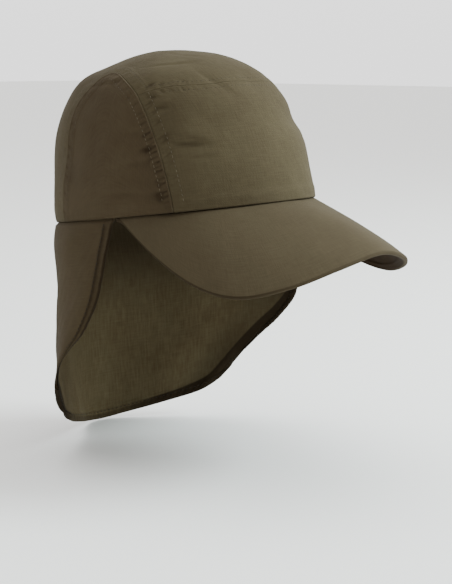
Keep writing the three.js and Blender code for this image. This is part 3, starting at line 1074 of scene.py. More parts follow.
@dataclass
class Crown:
    """The crown's four panels with their seams, gathers and folds."""

    form: CrownForm
    seams: Seams
    folded: SeamSide = SeamSide(7.0 * MM, 0.5 * MM, 0.3 * MM, 0.18 * MM, rub=0.7)  # on the side panels
    plain: SeamSide = SeamSide(8.0 * MM, 0.25 * MM, 0.0 * MM, 0.16 * MM)  # on the front and the top
    brow_side: SeamSide = SeamSide(4.0 * MM, 0.08 * MM, 0.04 * MM, 0.06 * MM, 0.16 * MM)
    hem_height: float = 5.5 * MM  # height of the turned hem above the rim
    edge_drop: float = 0.9 * MM  # how far the rim's edge is rounded off
    closing: float = 0.22 * MM  # how far the hem comes down towards the peak and the flap
    inner_step: int = 8  # steps of a panel's outer grid for one of its inner grid
    front_grid: tuple[tuple[int, float], ...] = ((305, 0.55), (193, 0.5))  # columns and rows, with their pull
    top_grid: tuple[tuple[int, float], ...] = ((225, 0.5), (361, 0.3))
    side_columns: tuple[int, int] = (320, 386)  # beside the gathers and over the rest of the arch
    side_rows: tuple[int, float] = (97, 0.4)
    gathered_share: float = 0.26  # share of the arch that the finer columns take
    side_tip: float = 0.003  # share of the arch left out at both ends of a side panel
    flatter_span: tuple[float, float] = (185 * MM, 215 * MM)  # where a side seam's relief gets lower
    rubbed_span: tuple[float, float] = (190 * MM, 220 * MM)  # where its wear gets less
    full_gather: float = 0.5 * MM  # height of a gather that is fully worn or shaded
    # finer creases: the same columns as the form's dents
    creases: Table = (
        (-28, 0.61, 6, 0.014, -0.0105, 0.0014), (-21, 0.56, 4, 0.016, -0.0105, 0.001),
        (-34, 0.655, 5, 0.013, -0.0095, 0.0015), (-60, 0.47, 5, 0.012, 0.0004, 0.008),
        (-49, 0.312, 9, 0.019, -0.0009, 0.012), (-44, 0.245, 7, 0.012, -0.0004, 0.004),
        (-71, 0.372, 8, 0.014, 0.001, 0.006), (-67, 0.292, 6, 0.012, 0.0, 0.0045),
        (-71, 0.235, 11, 0.02, 0.0, 0.007), (-78, 0.105, 14, 0.02, -0.0008, 0.009),
        (-92, 0.2, 12, 0.018, 0.0016, 0.004), (-100, 0.6, 10, 0.014, 0.001, 0.004),
        (-56, 0.76, 20, 0.012, 0.0012, 0.004), (-50, 0.86, 26, 0.014, -0.001, 0.003),
        (49, 0.31, 9, 0.014, 0.0006, 0.01), (62, 0.46, 6, 0.012, -0.0004, 0.007),
        (71, 0.37, 8, 0.014, -0.001, 0.007), (68, 0.25, 8, 0.012, 0.0, 0.007),
        (80, 0.11, 14, 0.02, 0.0008, 0.008), (30, 0.58, 7, 0.01, 0.0095, 0.004),
        (140, 0.5, 12, 0.018, 0.002, 0.006), (-152, 0.45, 9, 0.018, -0.002, 0.004),
        (180, 0.36, 14, 0.016, 0.0015, 0.006), (160, 0.2, 12, 0.016, -0.001, 0.005),
    )
    # soft bands that stand out above the rim, and broad hollows: the same columns
    bands: Table = (
        (-74, 0.052, 26, 0.024, 0.0, -0.009), (-30, 0.05, 30, 0.025, 0.0, -0.006),
        (30, 0.05, 30, 0.025, 0.0, -0.006), (74, 0.052, 26, 0.024, 0.0, -0.009),
        (150, 0.06, 40, 0.03, 0.0, -0.006), (-150, 0.06, 40, 0.03, 0.0, -0.006),
        (-131, 0.28, 20, 0.13, 0.0, 0.008), (-142, 0.5, 14, 0.09, 0.0, 0.008),
        (-140, 0.75, 30, 0.09, 0.0, 0.009), (-122, 0.06, 22, 0.05, 0.0, -0.012),
        (34, 0.24, 20, 0.12, 0.0, 0.008), (131, 0.31, 20, 0.17, 0.0, 0.01),
    )
    swell: Unevenness = Unevenness(11, 18 * MM, 50 * MM, 0.3 * MM, 26)
    ripple: Unevenness = Unevenness(12, 5 * MM, 14 * MM, 0.045 * MM, 30)
    lines: dict[str, SeamLine] = field(init=False)

    def __post_init__(self) -> None:
        """Makes the seam lines of both sides."""
        left = self.seams.arch
        self.lines = {
            "left": SeamLine(self.form, left),
            "right": SeamLine(self.form, self.seams.mirrored(left)),
            "brow": SeamLine(self.form, self.seams.brow),
        }

    def puckers(self, name: str, inner: bool) -> list[Puckers]:
        """Gathers on one side of a seam.

        Args:
            name: The seam's name.
            inner: True on the side panel, whose cloth is gathered more.

        Returns:
            The sets of puckers.
        """
        seed = {"right": 21, "left": 31, "brow": 41}[name] + (5 if inner else 0)
        whole = float(self.lines[name].run[-1])
        if name == "brow":
            return [
                Puckers.scattered(seed, 3 * MM, 40 * MM, 3.6 * MM, 0.34 * MM, 6.5 * MM, 0.35),
                Puckers.scattered(seed + 1, 40 * MM, whole - 3 * MM, 8 * MM, 0.1 * MM, 5 * MM, 0.2),
            ]
        strength = (0.6 if inner else 0.34) * MM
        low = Puckers.scattered(seed, 4 * MM, 74 * MM, 4.8 * MM, strength, 8 * MM, -0.12)
        if name == "right":
            low = in_metres(SIDE_GATHERS if inner else FRONT_GATHERS)
        return [
            low,
            Puckers.scattered(seed + 1, 78 * MM, 205 * MM, 6.0 * MM, 0.6 * strength, 7 * MM, 0.0),
            Puckers.scattered(seed + 2, 205 * MM, whole - 4 * MM, 5.2 * MM, 0.45 * strength, 7 * MM, 0.12),
        ]

    def beside(
        self, name: str, side: SeamSide, inner: bool, base: Array
    ) -> tuple[Array, Array, Array]:
        """Cloth beside one seam: relief and gathers, worn along the fold, the stitched row and the
        ridges, and painted shade in the valleys of the gathers.

        Args:
            name: The seam's name.
            side: The relief on this side of it.
            inner: True on a side panel.
            base: The panel's points.

        Returns:
            Heights in metres, and wear and shade from 0 to 1.
        """
        distance, place = self.lines[name].near(base)
        gathers = sum(puckers.height(distance, place) for puckers in self.puckers(name, inner))
        relief = side.height(distance)
        rub = 0.75 + 0.25 * np.sin(place / (5.3 * MM)) * np.sin(place / (2.1 * MM) + 1)
        if name == "brow":
            rub = 0.2 * rub
        else:
            relief = relief * (1 - 0.55 * smooth(*self.flatter_span, place))
            rub = rub * (1 - 0.7 * smooth(*self.rubbed_span, place))
        fold = side.rub * rub * hump(distance, 0.45 * MM, 0.32 * MM)
        stitched = 0.12 * rub * hump(distance, side.band, 1.0 * MM)
        ridges = 0.35 * np.clip(gathers / self.full_gather, 0, 1)
        # painted shade in the valleys of the gathers
        valleys = np.clip(-gathers / self.full_gather, 0, 1) * (1 - smooth(6 * MM, 16 * MM, distance))
        return relief + gathers, np.maximum(np.maximum(fold, stitched), ridges), valleys

    def relief(self, disc: Array, sides: dict[str, SeamSide], inner: bool) -> tuple[Array, Array, Array]:
        """Height over the plain form, wear and painted shade of a panel: the height is the sum of its
        dents, creases, swell, seams, hem with its small tucks, and the rounded edge at the rim.

        Args:
            disc: The panel's grid in disc coordinates.
            sides: The seams that bound it, with their relief.
            inner: True on a side panel.

        Returns:
            Heights in metres, and wear and painted shade from 0 to 1.
        """
        turn, level = self.form.from_disc(disc)
        base = self.form.at(disc)
        above = self.form.above_rim(base)
        seams = [self.beside(name, side, inner, base) for name, side in sides.items()]
        heights, wears, shades = zip(*seams)
        fine = self.swell.at(base) + self.ripple.at(base) + sum(heights)
        fine = fine - self.form.pressed(turn, level, self.creases, sharp=True)
        hem = 0.4 * MM * (1 - smooth(0.6 * self.hem_height, 2.2 * self.hem_height, above))
        tucks = 0.03 * MM * np.sin(turn * 1.15 + 3 * np.sin(turn * 0.21))
        tucks = tucks * (1 - smooth(1 * MM, 7 * MM, above))
        rounding = (0.9 + 2.3 * smooth(50, 110, np.abs(turn))) * MM
        edge = np.minimum(1, self.edge_drop / rounding) * lip(above, rounding)
        fine = fine + hem + tucks - edge
        # painted shade in the hollows of the relief and along the rim's lower edge, added to the painted
        # shade of the valleys
        hollow_shade = 0.6 * np.clip(-(fine + 0.15 * MM) / (1.2 * MM), 0, 1) * smooth(3 * MM, 5 * MM, above)
        low = 0.4 * (1 - smooth(0.2 * MM, 1.2 * MM, above))
        painted_shade = np.clip(hollow_shade + 0.5 * sum(shades) + low, 0, 1)
        broad = self.form.pressed(turn, level, self.form.dents + self.bands)
        return fine - broad, np.maximum.reduce(wears), painted_shade

    def shell(self, name: str, disc: Array, sides: dict[str, SeamSide], inner: bool) -> Shell:
        """A panel as a closed sheet: the relief stands out along the normals, and the inner face
        lies a wall's thickness in and ends on the rim plane.

        Args:
            name: The piece's name.
            disc: The panel's grid in disc coordinates.
            sides: The seams that bound it, with their relief.
            inner: True on a side panel.

        Returns:
            The sheet.
        """
        base, normal = self.form.at(disc), self.form.normals(disc)
        height, wear, painted_shade = self.relief(disc, sides, inner)
        outer = base + normal * height[..., None]
        outer[..., 2] -= self.closing * (1 - smooth(0, 2 * MM, self.form.above_rim(base)))
        low = disc[:: self.inner_step, :: self.inner_step]
        turn, level = self.form.from_disc(low)
        depth = self.form.pressed(turn, level, self.form.dents) + self.form.wall
        under = self.form.at(low) - self.form.normals(low) * depth[..., None]
        floor = -self.form.rim_slope * under[..., 1]
        under[..., 2] = np.where(level < 1e-6, floor - self.closing, under[..., 2])
        uv = cloth_uv(lengths(base, 1), lengths(base[:, base.shape[1] // 2])[:, None])
        return Shell(name, outer, under, uv, {"wear": wear, "painted_shade": painted_shade})

    def coons(
        self, bottom: Array, top: Array, left: Array, right: Array, grid: tuple[tuple[int, float], ...]
    ) -> Array:
        """Grid of disc coordinates filled in between four border curves, the bilinearly blended Coons
        patch: the two ruled patches added, less the one through the corners.

        Args:
            bottom: Border at row 0, from the right-hand panel edge to the left-hand one.
            top: Border at the last row, in the same direction.
            left: Border at column 0, from bottom to top.
            right: Border at the last column, from bottom to top.
            grid: How many columns and rows, each with their pull to the borders.

        Returns:
            The grid, rows by columns by 2.
        """
        columns, rows = (clustered(*line) for line in grid)

        def even(route: Array, shares: Array) -> Array:
            """The border at shares of its length in space."""
            return along_length(route, shares, self.form.at(route))

        b, t = even(bottom, columns)[None], even(top, columns)[None]
        le, ri = even(left, rows)[:, None], even(right, rows)[:, None]
        u, v = columns[None, :, None], rows[:, None, None]
        low_corners = (1 - u) * b[:, :1] + u * b[:, -1:]
        high_corners = (1 - u) * t[:, :1] + u * t[:, -1:]
        corners = (1 - v) * low_corners + v * high_corners
        return (1 - v) * b + v * t + (1 - u) * le + u * ri - corners

    def rim(self, start: float, end: float) -> Array:
        """The rim between two turns as disc coordinates."""
        return self.form.to_disc(np.linspace(start, end, 600), np.zeros(600))

    def panels(self) -> dict[str, Shell]:
        """Makes the four panels. A side panel is ruled from the rim to its arch, with its rows
        closer together towards the arch.

        Returns:
            The panels by the names of their CAD nodes.
        """
        s = self.seams
        ahead, behind = (float(self.form.from_disc(s.arch[end])[0]) for end in (0, -1))
        low_arches = s.mirrored(s.lower_arch), s.lower_arch
        high_arches = s.mirrored(s.upper_arch), s.upper_arch
        front = self.coons(self.rim(-ahead, ahead), s.brow, *low_arches, self.front_grid)
        top = self.coons(s.brow, self.rim(-behind, behind - 360), *high_arches, self.top_grid)
        gathered = np.linspace(0, self.gathered_share, self.side_columns[0])[:-1]
        shares = np.concatenate([gathered, np.linspace(self.gathered_share, 1, self.side_columns[1])])
        shares = shares * (1 - 2 * self.side_tip) + self.side_tip
        routes = s.arch, self.rim(ahead, behind)
        arch, edge = (along_length(route, shares, self.form.at(route))[None] for route in routes)
        rise = 1 - (1 - clustered(*self.side_rows)) ** 1.35
        half = edge + (arch - edge) * rise[:, None, None]
        plain = {"right": self.plain, "left": self.plain, "brow": self.brow_side}
        panels = {
            "crown_front_panel": self.shell("front_panel", front, plain, False),
            "crown_top_panel": self.shell("top_panel", top, plain, False),
        }
        for side, grid in (("left", half), ("right", s.mirrored(half)[:, ::-1])):
            panel = self.shell("side_panel_" + side, grid, {side: self.folded}, True)
            panels["crown_side_panel_" + side] = panel
        return panels


# Peak


@dataclass
class Peak:
    """The stiffened peak: an upper and a lower face with a rounded lip, curved down at its sides."""

    crown: CrownForm
    reach: float = 75 * MM
    flare: float = 36 * MM
    drop: float = 50 * MM
    bulge: float = 4 * MM  # rise of the upper face half way in
    wall: float = 3 * MM
    turn: float = 82.8  # turn of its ends at the rim
    seat: float = 0.3 * MM  # gap under the rim
    # the edge from the middle to an end, as shares of reach, flare and drop
    forward: Column = (1.008, 0.95, 0.82, 0.64, 0.47, 0.243, 0)
    outward: Column = (0, 0.5, 0.75, 0.81, 0.607, 0.342, 0)
    down: Column = (0.586, 0.719, 0.914, 1.032, 0.902, 0.511, 0)
    binding: float = 7 * MM  # width of the bound edge on the underside
    columns: int = 261
    rows: int = 97
    swell: Unevenness = Unevenness(51, 30 * MM, 80 * MM, 0.2 * MM)

    def form(self, across: Array, inward: Array) -> Array:
        """Upper face: straight lines from the edge curve to the root under the rim, raised half way by
        a parabola.

        Args:
            across: Shares of the half turn, -1 at the right end and 1 at the left one.
            inward: Shares of the way from the edge to the root.

        Returns:
            Points in space.
        """
        share = np.abs(across)
        disc = self.crown.to_disc(across * self.turn, np.zeros(across.shape))
        edge = self.crown.at(disc)
        root = edge - self.crown.normals(disc) * self.crown.wall
        root[..., 2] = -self.crown.rim_slope * root[..., 1] - self.seat
        edge[..., 0] += np.sign(across) * self.flare * blend(self.outward, share)
        edge[..., 1] -= self.reach * blend(self.forward, share, mirror_start=True)
        edge[..., 2] -= self.drop * blend(self.down, share, mirror_start=True) + self.seat * inward
        point = edge + (root - edge) * inward[..., None]
        point[..., 2] += 4 * self.bulge * inward * (1 - inward) * (1 - share**4)
        return point

    def normals(self, across: Array, inward: Array) -> Array:
        """Upward normals of the upper face from differences inside its borders.

        Args:
            across: Shares of the half turn.
            inward: Shares of the way in.

        Returns:
            Normals of length 1.
        """
        step = 1e-3
        u = np.clip(across, -1 + 2 * step, 1 - 2 * step)
        v = np.clip(inward, step, 1 - step)
        over_u = self.form(u + step, v) - self.form(u - step, v)
        over_v = self.form(u, v + step) - self.form(u, v - step)
        return unit(np.cross(over_u, over_v))

    def shell(self) -> Shell:
        """Closed sheet: both faces stand half a wall from the middle one, less near the edge by a
        circle's arc, which makes a half-round lip. The underside has a bound edge.

        Returns:
            The sheet.
        """
        across = np.linspace(-1, 1, self.columns)[None]
        inward = (np.linspace(0, 1, self.rows) ** 2.1)[:, None]
        across, inward = np.broadcast_arrays(across, inward)
        upper, normal = self.form(across, inward), self.normals(across, inward)
        span = np.linalg.norm(upper[-1] - upper[0], axis=1)[None]
        off = inward * span
        half = self.wall / 2
        arc = np.sqrt(np.maximum(1 - np.clip(1 - off / half, 0, 1) ** 2, 0.03**2))
        middle = upper - normal * half
        swell = self.swell.at(upper) * smooth(3 * MM, 20 * MM, off)
        top = middle + normal * (half * arc + swell)[..., None]
        stitched = 0.22 * MM * hump(off, 1.1 * MM, 0.35 * MM)
        bound = 1 - smooth(self.binding - 0.5 * MM, self.binding + 0.3 * MM, off)
        bound = 0.45 * MM * bound * smooth(0, 2 * MM, off) * smooth(4 * MM, 16 * MM, span)
        under = middle - normal * (half * arc + bound - stitched)[..., None]
        along = lengths(upper[0])[None] * 100
        uv = np.stack([np.broadcast_to(along, off.shape), off * 100], -1)
        wear = 0.1 * hump(off, 3.2 * MM, 1.0 * MM)
        # painted shade along the lip, on both faces, stronger towards the ends
        lip_shade = 0.45 + 0.5 * smooth(0.25, 0.6, np.abs(across))
        painted_shade = lip_shade * (1 - smooth(0.9 * MM, 2.2 * MM, off))
        inside = {"inside": smooth(0.3 * MM, 2.4 * MM, off), "painted_shade": painted_shade}
        return Shell("peak_cover", top, under, uv, {"wear": wear, "painted_shade": painted_shade}, inside)


# Neck flap


@dataclass
class NeckFlap:
    """The hanging neck flap: single cloth with a turned hem, tucked inside the crown's rim."""

    crown: CrownForm
    turn: float = 85.3  # turn of its free edges at the rim
    drop: float = 162 * MM
    wall: float = 1.2 * MM
    seat: float = 0.3 * MM  # gap to the crown's wall
    margin: float = 8 * MM  # height of the part inside the crown
    tuck_fade: float = 2.5 * MM  # drop over which it comes out from under the rim
    flare: float = 2.2 * MM  # how far the left free edge turns out
    curl: float = 1.6 * MM  # how far the right one turns in
    twist: float = -4.0  # turn about the vertical from twist_reach down
    twist_reach: float = 80 * MM
    corner_rise: float = 0.13  # rise of the hem at the front corners, as a share of the drop
    corner_span: float = 0.55  # width of that curve, as a share of half the hem
    wedge_rounding: float = 0.3  # rounding of the wedge's back, as a share of the half width
    hem_width: float = 8 * MM
    hem_wall: float = 2 * MM
    hem_row: float = 6.6 * MM  # distance of the stitched row from the free edge
    columns: int = 297
    rows: int = 149
    margin_rows: int = 4  # rows of the grid inside the crown
    # tables from the rim to the hem, as shares: half width, how far back and down the free edges and
    # the spine lie, and how much of the section is a wedge
    side: Column = (0.998, 1.165, 1.263, 1.317, 1.32, 1.256, 1.107, 0.894)
    edge_back: Column = (0, -0.077, -0.108, -0.047, 0.107, 0.284, 0.439, 0.586)
    spine_back: Column = (0, -0.003, -0.001, 0.009, 0.009, 0, -0.01, -0.019)
    edge_drop: Column = (0, 0.174, 0.331, 0.461, 0.567, 0.675, 0.811, 0.971)
    spine_drop: Column = (0, 0.143, 0.286, 0.429, 0.572, 0.715, 0.858, 1)
    wedge: Column = (0, 0.17, 0.32, 0.46, 0.66, 0.88, 1.04, 1.12)
    swell: Unevenness = Unevenness(61, 22 * MM, 70 * MM, 0.4 * MM)
    ripple: Unevenness = Unevenness(62, 6 * MM, 16 * MM, 0.1 * MM)

    def form(self, across: Array, down: Array) -> Array:
        """Outer face below the rim: an oval that turns into a rounded wedge, twisted about the vertical.

        Args:
            across: -1 at the right free edge, 0 at the spine and 1 at the left free edge.
            down: Shares of the drop from the rim to the hem.

        Returns:
            Points in space.
        """
        half_turn = 180 - self.turn
        ahead, aside = oval(np.abs(across) * half_turn, self.crown.roundness)
        end_ahead, end_aside = (float(x) for x in oval(np.array(half_turn), self.crown.roundness))
        aside = aside / end_aside
        rounding = self.wedge_rounding
        corner = math.hypot(1, rounding) - rounding
        straight = 1 - (np.hypot(aside, rounding) - rounding) / corner
        round_back = (ahead - end_ahead) / (1 - end_ahead)
        to_back = round_back + (straight - round_back) * blend(self.wedge, down)
        rim_end = self.crown.form(np.array(self.turn), np.array(0.0))
        rim_back = self.crown.form(np.array(180.0), np.array(0.0))
        length = self.crown.half_length
        edge_y = rim_end[1] + length * blend(self.edge_back, down)
        spine_y = rim_back[1] + length * blend(self.spine_back, down)
        edge_z = rim_end[2] - self.drop * blend(self.edge_drop, down)
        spine_z = rim_back[2] - self.drop * blend(self.spine_drop, down)
        x = np.sign(across) * self.crown.half_width * blend(self.side, down) * aside
        y = edge_y + (spine_y - edge_y) * to_back
        z = edge_z + (spine_z - edge_z) * to_back
        angle = math.radians(self.twist) * smooth(0, self.twist_reach, -z)
        cosine, sine = np.cos(angle), np.sin(angle)
        return np.stack([x * cosine - y * sine, x * sine + y * cosine, z], -1)

    def spans(self) -> tuple[float, float]:
        """Sizes of the cloth as hung.

        Returns:
            Length from the spine to a free edge half way down, and from the rim to the hem.
        """
        middle = self.form(np.linspace(0, 1, 60), np.full(60, 0.5))
        spine = self.form(np.zeros(60), np.linspace(0, 1, 60))
        return lengths(middle)[-1], lengths(spine)[-1]

    def hem_share(self, across: Array) -> Array:
        """Lowest share of the drop, rounded up at the front corners by a quarter ellipse."""
        past = np.clip((np.abs(across) - 1 + self.corner_span) / self.corner_span, 0, 1)
        return 1 - self.corner_rise * (1 - np.sqrt(np.maximum(1 - past**2, 0)))

    def placed(self, across: Array, down: Array) -> tuple[Array, Array]:
        """Outer face with its margin: below the rim the hanging form, drawn in near the rim, and above
        it the crown's inner face.

        Args:
            across: Shares of the half width.
            down: Shares of the drop, -1 to 0 in the margin.

        Returns:
            Points, and outward normals.
        """
        step = 1e-3
        tuck = self.crown.wall + self.seat
        share = np.clip(down, 0, 1) * self.hem_share(across)
        u = np.clip(across, -1 + step, 1 - step)
        s = np.clip(share, step, 1 - step)
        over_u = self.form(u + step, s) - self.form(u - step, s)
        over_s = self.form(u, s + step) - self.form(u, s - step)
        normal = unit(np.cross(over_u, over_s))
        faded = 1 - smooth(0, self.tuck_fade, share * self.drop)
        hanging = self.form(across, share) - normal * (tuck * faded)[..., None]
        level_height = self.crown.height * self.crown.rise[1] * (len(self.crown.rise) - 1)
        level = np.clip(-down, 0, None) * self.margin / level_height
        disc = self.crown.to_disc(180 - across * (180 - self.turn), level)
        inside_normal = self.crown.normals(disc)
        inside = self.crown.at(disc) - inside_normal * tuck
        tucked = (down <= 0)[..., None]
        return np.where(tucked, inside, hanging), np.where(tucked, inside_normal, normal)

    def folds(self, across: Array, down: Array, base: Array) -> Array:
        """Soft drape: a sum of sines and bell curves over the cloth's two directions, for a flare and
        a curl of the free edges, a fuller top, and waves and a fan of folds towards the hem.

        Args:
            across: Shares of the half width.
            down: Shares of the drop.
            base: The points without folds.

        Returns:
            Heights.
        """
        side = np.abs(across)
        flared = np.clip((across - 0.78) / 0.22, 0, 1) ** 2 * smooth(0.02, 0.25, down)
        flared = self.flare * flared * (1 - 0.6 * smooth(0.75, 1.0, down))
        curled = np.clip((-across - 0.9) / 0.1, 0, 1) ** 2 * smooth(0.1, 0.3, down)
        curled = self.curl * curled * (1 - smooth(0.6, 0.9, down))
        full = 1.7 * MM * hump(down, 0.08, 0.08) * (1 - smooth(0.7, 0.95, side))
        broad = 0.9 * MM * np.sin(across * 11.0 + 1.1 + 1.6 * down)
        close = 0.6 * MM * np.sin(across * 19.0 - 0.7 - 1.1 * down)
        fan = 0.6 * MM * np.sin(across * 7.0 - 5.0 * down + 0.4) * smooth(0.1, 0.5, down)
        low = smooth(0.15, 1.0, down) * (1 - smooth(0.62, 0.9, side))
        uneven = (self.swell.at(base) + self.ripple.at(base)) * smooth(0.0, 0.12, down)
        return flared - curled + full * smooth(-0.01, 0.02, down) + low * (broad + close + fan) + uneven

    def hem(self, across: Array, down: Array) -> tuple[Array, Array, Array]:
        """The turned hem: a thicker band along the free edges, whose stitched row draws the cloth in
        and gathers it a little.

        Args:
            across: Shares of the half width.
            down: Shares of the drop.

        Returns:
            Distance from the nearest free edge, thickness beyond the plain wall, and the gathers.
        """
        half_width, height = self.spans()
        to_side, to_hem = (1 - np.abs(across)) * half_width, (1 - down) * height
        inset = np.minimum(to_side, to_hem)
        band = 1 - smooth(self.hem_width - 0.3 * MM, self.hem_width + 0.9 * MM, inset)
        place = np.where(to_side < to_hem, down * height, across * half_width)
        gathers = 0.16 * MM * np.sin(place / (1.15 * MM) + 2.0 * np.sin(place / (9 * MM)))
        gathers = gathers * hump(inset, 4 * MM, 4 * MM) * smooth(0.0, 0.06, down)
        return inset, (self.hem_wall - self.wall) * band, gathers

    def painted_inner_shade(self, across: Array, down: Array, inset: Array, base: Array) -> Array:
        """Painted shade of the inner face: a dark turned edge, darker towards both sides and under the
        crown, and darker along the stitched row.

        Args:
            across: Shares of the half width.
            down: Shares of the drop.
            inset: Distances from the nearest free edge along the grid.
            base: The points without folds.

        Returns:
            Shade from 0 to 1.
        """
        hanging = base[self.margin_rows :]
        edge = np.concatenate([hanging[:, 0], base[-1], hanging[:, -1]])
        from_edge = nearest(base.reshape(-1, 3), edge)[1].reshape(inset.shape)
        to_side = (1 - np.abs(across)) * self.spans()[0]
        left = smooth(0.1, 0.6, across)
        end = (5.5 + 3.2 * left) * MM
        turned = (0.55 + 0.45 * left) * (1 - smooth(0.65 * end, end, from_edge))
        right_dim = 0.62 * (1 - smooth(0.0, 70 * MM, to_side)) * (across < 0)
        left_dim = 0.38 * (1 - smooth(8 * MM, 45 * MM, from_edge)) * left
        under_crown = 0.72 * (1 - smooth(0.08, 0.62, down))
        stitched = 0.4 * hump(inset, self.hem_row, 0.8 * MM)
        return np.clip(turned + right_dim + left_dim + under_crown + stitched, 0, 1)

    def shell(self) -> Shell:
        """Closed sheet between the outer and the inner face, thicker in the hem, with rounded free edges.

        Returns:
            The sheet.
        """
        across = (2 * clustered(self.columns, 0.35) - 1)[None]
        hanging = 1 - (1 - np.linspace(0, 1, self.rows)) ** 1.15
        margin = np.linspace(-1, 0, self.margin_rows + 1)[:-1]
        down = np.concatenate([margin, hanging])[:, None]
        across, down = np.broadcast_arrays(across, down)
        base, normal = self.placed(across, down)
        inset, thicker, gathers = self.hem(across, down)
        drape = self.folds(across, down, base) + gathers
        stitched = 0.22 * MM * hump(inset, self.hem_row, 0.6 * MM) * smooth(-0.2, 0.02, down)
        drawn_in = stitched + lip(inset, 0.95 * MM)
        outer = base + normal * (drape - drawn_in)[..., None]
        inner = base + normal * (drape - self.wall - thicker + drawn_in)[..., None]
        wear = 0.25 * hump(inset, self.hem_row - 1.8 * MM, 0.7 * MM) * smooth(0.1, 0.2, down)
        # painted shade along the free edges and the hem's stitched row
        painted_shade = 0.5 * (1 - smooth(0.5 * MM, 2.2 * MM, inset)) + 0.4 * hump(inset, self.hem_row, 2.0 * MM)
        painted_shade = painted_shade + 0.3 * (1 - smooth(5 * MM, 12 * MM, inset))
        painted_shade = np.clip(painted_shade, 0, 1) * smooth(-0.01, 0.04, down)
        fields = {"wear": wear, "painted_shade": painted_shade}
        inside = {"wear": 0 * wear, "painted_shade": self.painted_inner_shade(across, down, inset, base)}
        return Shell("flap_cloth", outer, inner, cloth_uv(lengths(base, 1), lengths(base)), fields, inside)

    def hem_path(self) -> Array:
        """Route of the stitched row: down one free edge, along the hem and up the other.

        Returns:
            Points beside the cloth.
        """
        side, low = (1 - self.hem_row / span for span in self.spans())
        falling = np.linspace(0.01, low, 200)
        along = np.linspace(-side, side, 500)[1:-1]
        across = np.concatenate([np.full(len(falling), -side), along, np.full(len(falling), side)])
        down = np.concatenate([falling, np.full(len(along), low), falling[::-1]])
        return self.placed(across, down)[0]


# Stitching


@dataclass
class Stitching:
    """Rows of short stitches laid on a surface, each a small spindle sunk at both ends."""

    length: float = 2.2 * MM
    gap: float = 1.0 * MM
    radius: float = 0.22 * MM
    sunk: float = 0.08 * MM
    around: int = 6  # corners of a stitch's section
    spindles: list[Array] = field(default_factory=list)

    def lay(self, path: Array, tree: BVHTree, seed: int) -> None:
        """Lays a row along a path that runs near the surface.

        Args:
            path: Points of the row.
            tree: Search tree of the surface.
            seed: Seed of the small differences between stitches.
        """
        rng = np.random.default_rng(seed)
        run = lengths(path)[-1]
        count = int(run / (self.length + self.gap))
        starts = (np.arange(count) + 0.5) * (run / count)
        half = self.length / 2
        ends = [along_length(path, (starts + side * half) / run) for side in (-1, 1)]
        for i in range(count):
            found = [tree.find_nearest(Vector(spots[i])) for spots in ends]
            a, b = (np.array(hit[0]) for hit in found)
            normal = unit(np.array(found[0][1]) + np.array(found[1][1]))
            way = unit(b - a)
            up = unit(normal - way * (normal @ way))
            side = np.cross(up, way)
            middle = (a + b) / 2 + up * (self.radius * 0.45 - self.sunk)
            turn = rng.normal(0, 0.05)
            turned = way * math.cos(turn) + side * math.sin(turn)
            aside = side * math.cos(turn) - way * math.sin(turn)
            self.spindles.append(self._spindle(middle, turned, aside, up, half * rng.uniform(0.92, 1.06)))

    def _spindle(self, middle: Array, way: Array, side: Array, up: Array, half: float) -> Array:
        """Points of one stitch: rings of a flattened ellipsoid between two end points.

        Args:
            middle: Its middle.
            way: Direction along it.
            side: Direction across it on the cloth.
            up: Direction away from the cloth.
            half: Half its length.

        Returns:
            One end, the rings and the other end.
        """
        t = np.array([-0.62, 0.0, 0.62])
        ring = np.sqrt(1 - t**2) ** 0.7
        angle = np.arange(self.around) * 2 * math.pi / self.around
        circle = np.cos(angle)[:, None] * side * 1.15 + np.sin(angle)[:, None] * up
        body = middle + (half * t)[:, None, None] * way + (self.radius * ring)[:, None, None] * circle[None]
        tips = middle + np.array([[-half], [half]]) * way - up * self.radius * 0.5
        return np.concatenate([tips[:1], body.reshape(-1, 3), tips[1:]])

    def build(self, name: str) -> bpy.types.Object:
        """Joins all stitches into one mesh object: each has a fan of triangles at both ends and quads
        between its rings.

        Args:
            name: The object's name.

        Returns:
            The object.
        """
        n = self.around
        each = 3 * n + 2
        i = np.arange(n)
        j = (i + 1) % n
        first = np.stack([np.zeros(n, int), 1 + j, 1 + i], 1)
        last = np.stack([np.full(n, each - 1), 1 + 2 * n + i, 1 + 2 * n + j], 1)
        ring = np.stack([1 + i, 1 + j, 1 + n + j, 1 + n + i], 1)
        offset = (np.arange(len(self.spindles)) * each)[:, None, None]
        quads = (np.concatenate([ring, ring + n])[None] + offset).reshape(-1, 4)
        tris = (np.concatenate([first, last])[None] + offset).reshape(-1, 3)
        corners = np.concatenate([quads.ravel(), tris.ravel()])
        counts = np.concatenate([np.full(len(quads), 4), np.full(len(tris), 3)])
        return mesh_object(name, np.concatenate(self.spindles), corners, counts, None, {})


# Studio


